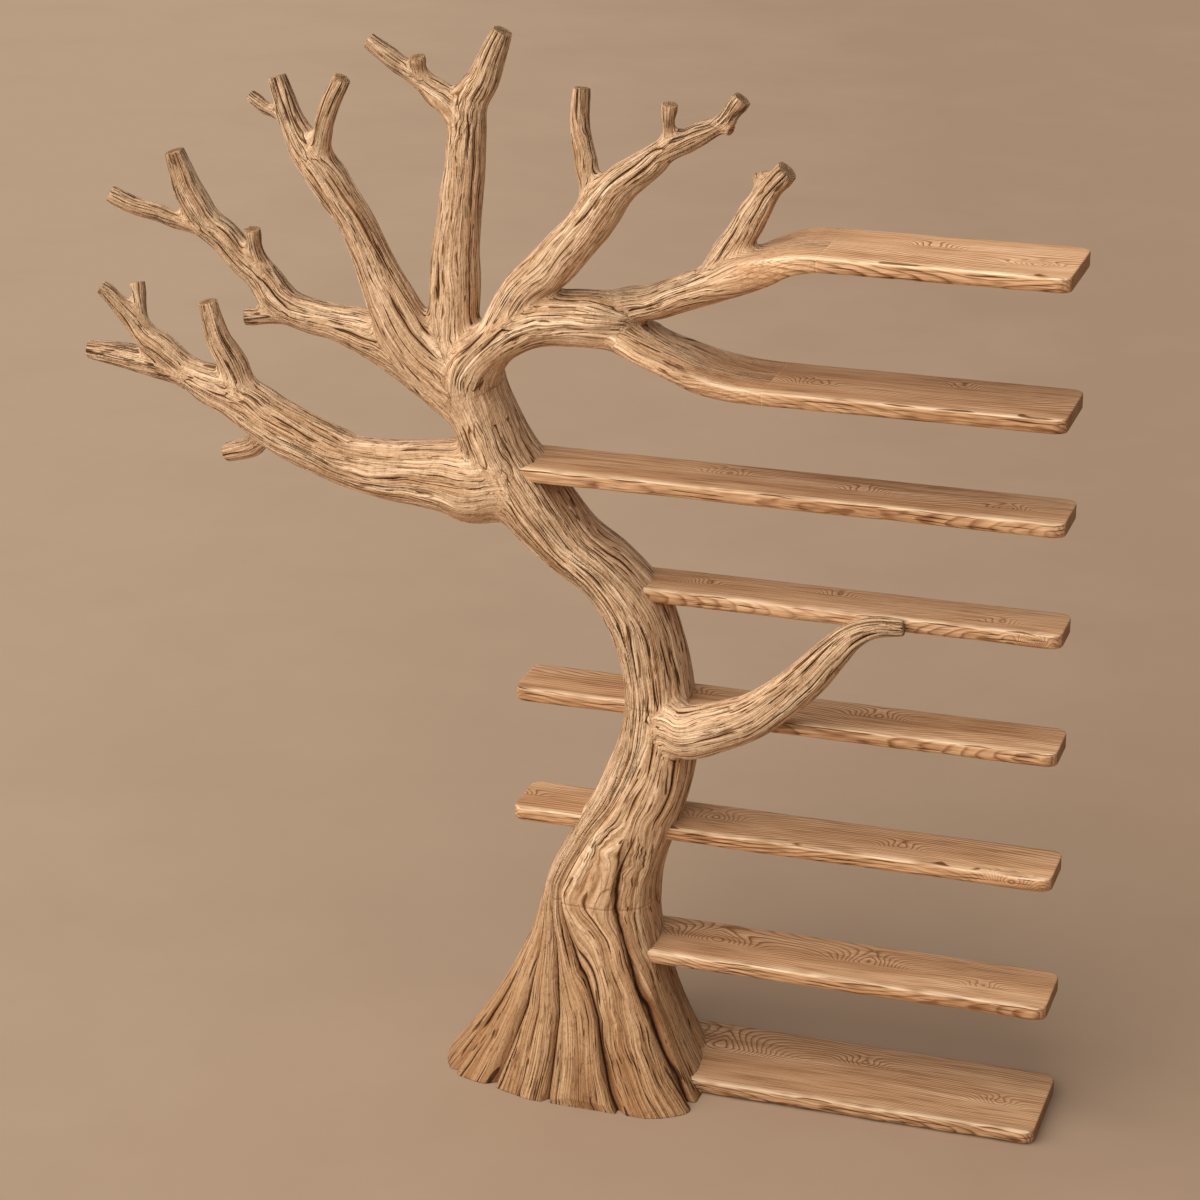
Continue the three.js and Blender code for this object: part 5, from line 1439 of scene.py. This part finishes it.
def steel_finish():
    """Mild steel bar, brushed along its length"""
    steel = Finish("tie_steel")
    place = steel.place()
    brushed = steel.noise(place, (40.0, 900.0, 900.0))
    cloud = steel.noise(place, (18.0, 18.0, 18.0), detail=3.0)
    colour = steel.ramp(cloud, [(0.3, srgb(142, 144, 147)), (0.7, srgb(176, 178, 182))])
    roughness = steel.level(brushed, [(0.2, 0.3), (0.8, 0.5)])
    return steel.done(colour, roughness, steel.bump(brushed, 0.0001, 0.4), Metallic=1.0)


def studio_finish():
    """A paper floor, faintly cloudy, with painted light: a little lighter to the left and to the front"""
    paper = Finish("studio_paper")
    place = paper.place()
    cloud = paper.noise(place, (1.6, 1.6, 1.6), detail=5.0, roughness=0.62)
    right, back = paper.apart(place)[:2]
    # Painted light: the floor is lighter to the left and to the front, where the key light comes from
    side = paper.math("ADD", right, paper.times(back, 0.33))
    side = paper.math("MULTIPLY_ADD", side, 0.28, 0.5, clamp=True)
    side = paper.math("ADD", side, paper.math("MULTIPLY_ADD", cloud, 0.8, -0.4))
    colour = paper.ramp(side, [(0.0, srgb(169, 145, 122)), (1.0, srgb(152, 127, 105))])
    return paper.done(colour, 0.95, None, Specular_IOR_Level=0.1)


def paint(thing, material):
    """Gives an object one material, on all its faces"""
    thing.data.materials.clear()
    thing.data.materials.append(material)
    thing.data.polygons.foreach_set("material_index", np.zeros(len(thing.data.polygons), np.int32))


limb_wood = limb_finish()
board_wood = board_finish()
dowel_wood = dowel_finish()
tie_steel = steel_finish()

for name, piece in split_tree(*dress_tree()).items():
    piece.name = name + "_carved"
    piece.data.name = piece.name
    paint(piece, limb_wood)
    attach(piece, "root")
    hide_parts(name)

for number, name in enumerate(BOARDS):
    board = dress_board(name, number)
    paint(board, board_wood)
    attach(board, "root")
    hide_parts(name)

for name, node in nodes.items():
    if name.endswith("_bar"):
        paint(node, tie_steel)
    elif name.endswith(("_dowel", "_peg", "_pin", "_loose_tenon")):
        paint(node, dowel_wood)

# Studio

FLOOR_RADIUS = 60.0
FLOOR_DROP = 0.0006
SKY_COLOUR = (1.0, 0.975, 0.95, 1.0)
SKY_STRENGTH = 0.38
SUN_COLOUR = (1.0, 0.97, 0.93)
SUN_PLACE = (-3.0, -3.6, 4.7)
SUN_TARGET = (0.0, 0.0, 0.6)
SUN_ENERGY = 4.0
SUN_SOFTNESS = 1.5


def add_floor():
    sheet = bmesh.new()
    bmesh.ops.create_circle(sheet, cap_ends=True, segments=96, radius=FLOOR_RADIUS)
    mesh = baked(sheet, "floor")
    mesh.transform(Matrix.Translation((0, 0, -FLOOR_DROP)))
    floor = new_object("floor", mesh)
    paint(floor, studio_finish())


def light_studio():
    world = bpy.data.worlds.new("studio")
    world.use_nodes = True
    sky = world.node_tree.nodes["Background"]
    sky.inputs["Color"].default_value = SKY_COLOUR
    sky.inputs["Strength"].default_value = SKY_STRENGTH
    bpy.context.scene.world = world
    sun = new_object("key", bpy.data.lights.new("key", "SUN"))
    sun.data.angle = SUN_SOFTNESS
    sun.data.energy = SUN_ENERGY
    sun.data.color = SUN_COLOUR
    place_looking_at(sun, SUN_PLACE, SUN_TARGET)


add_floor()
light_studio()
bpy.context.scene.view_settings.view_transform = "Standard"

bpy.context.view_layer.update()
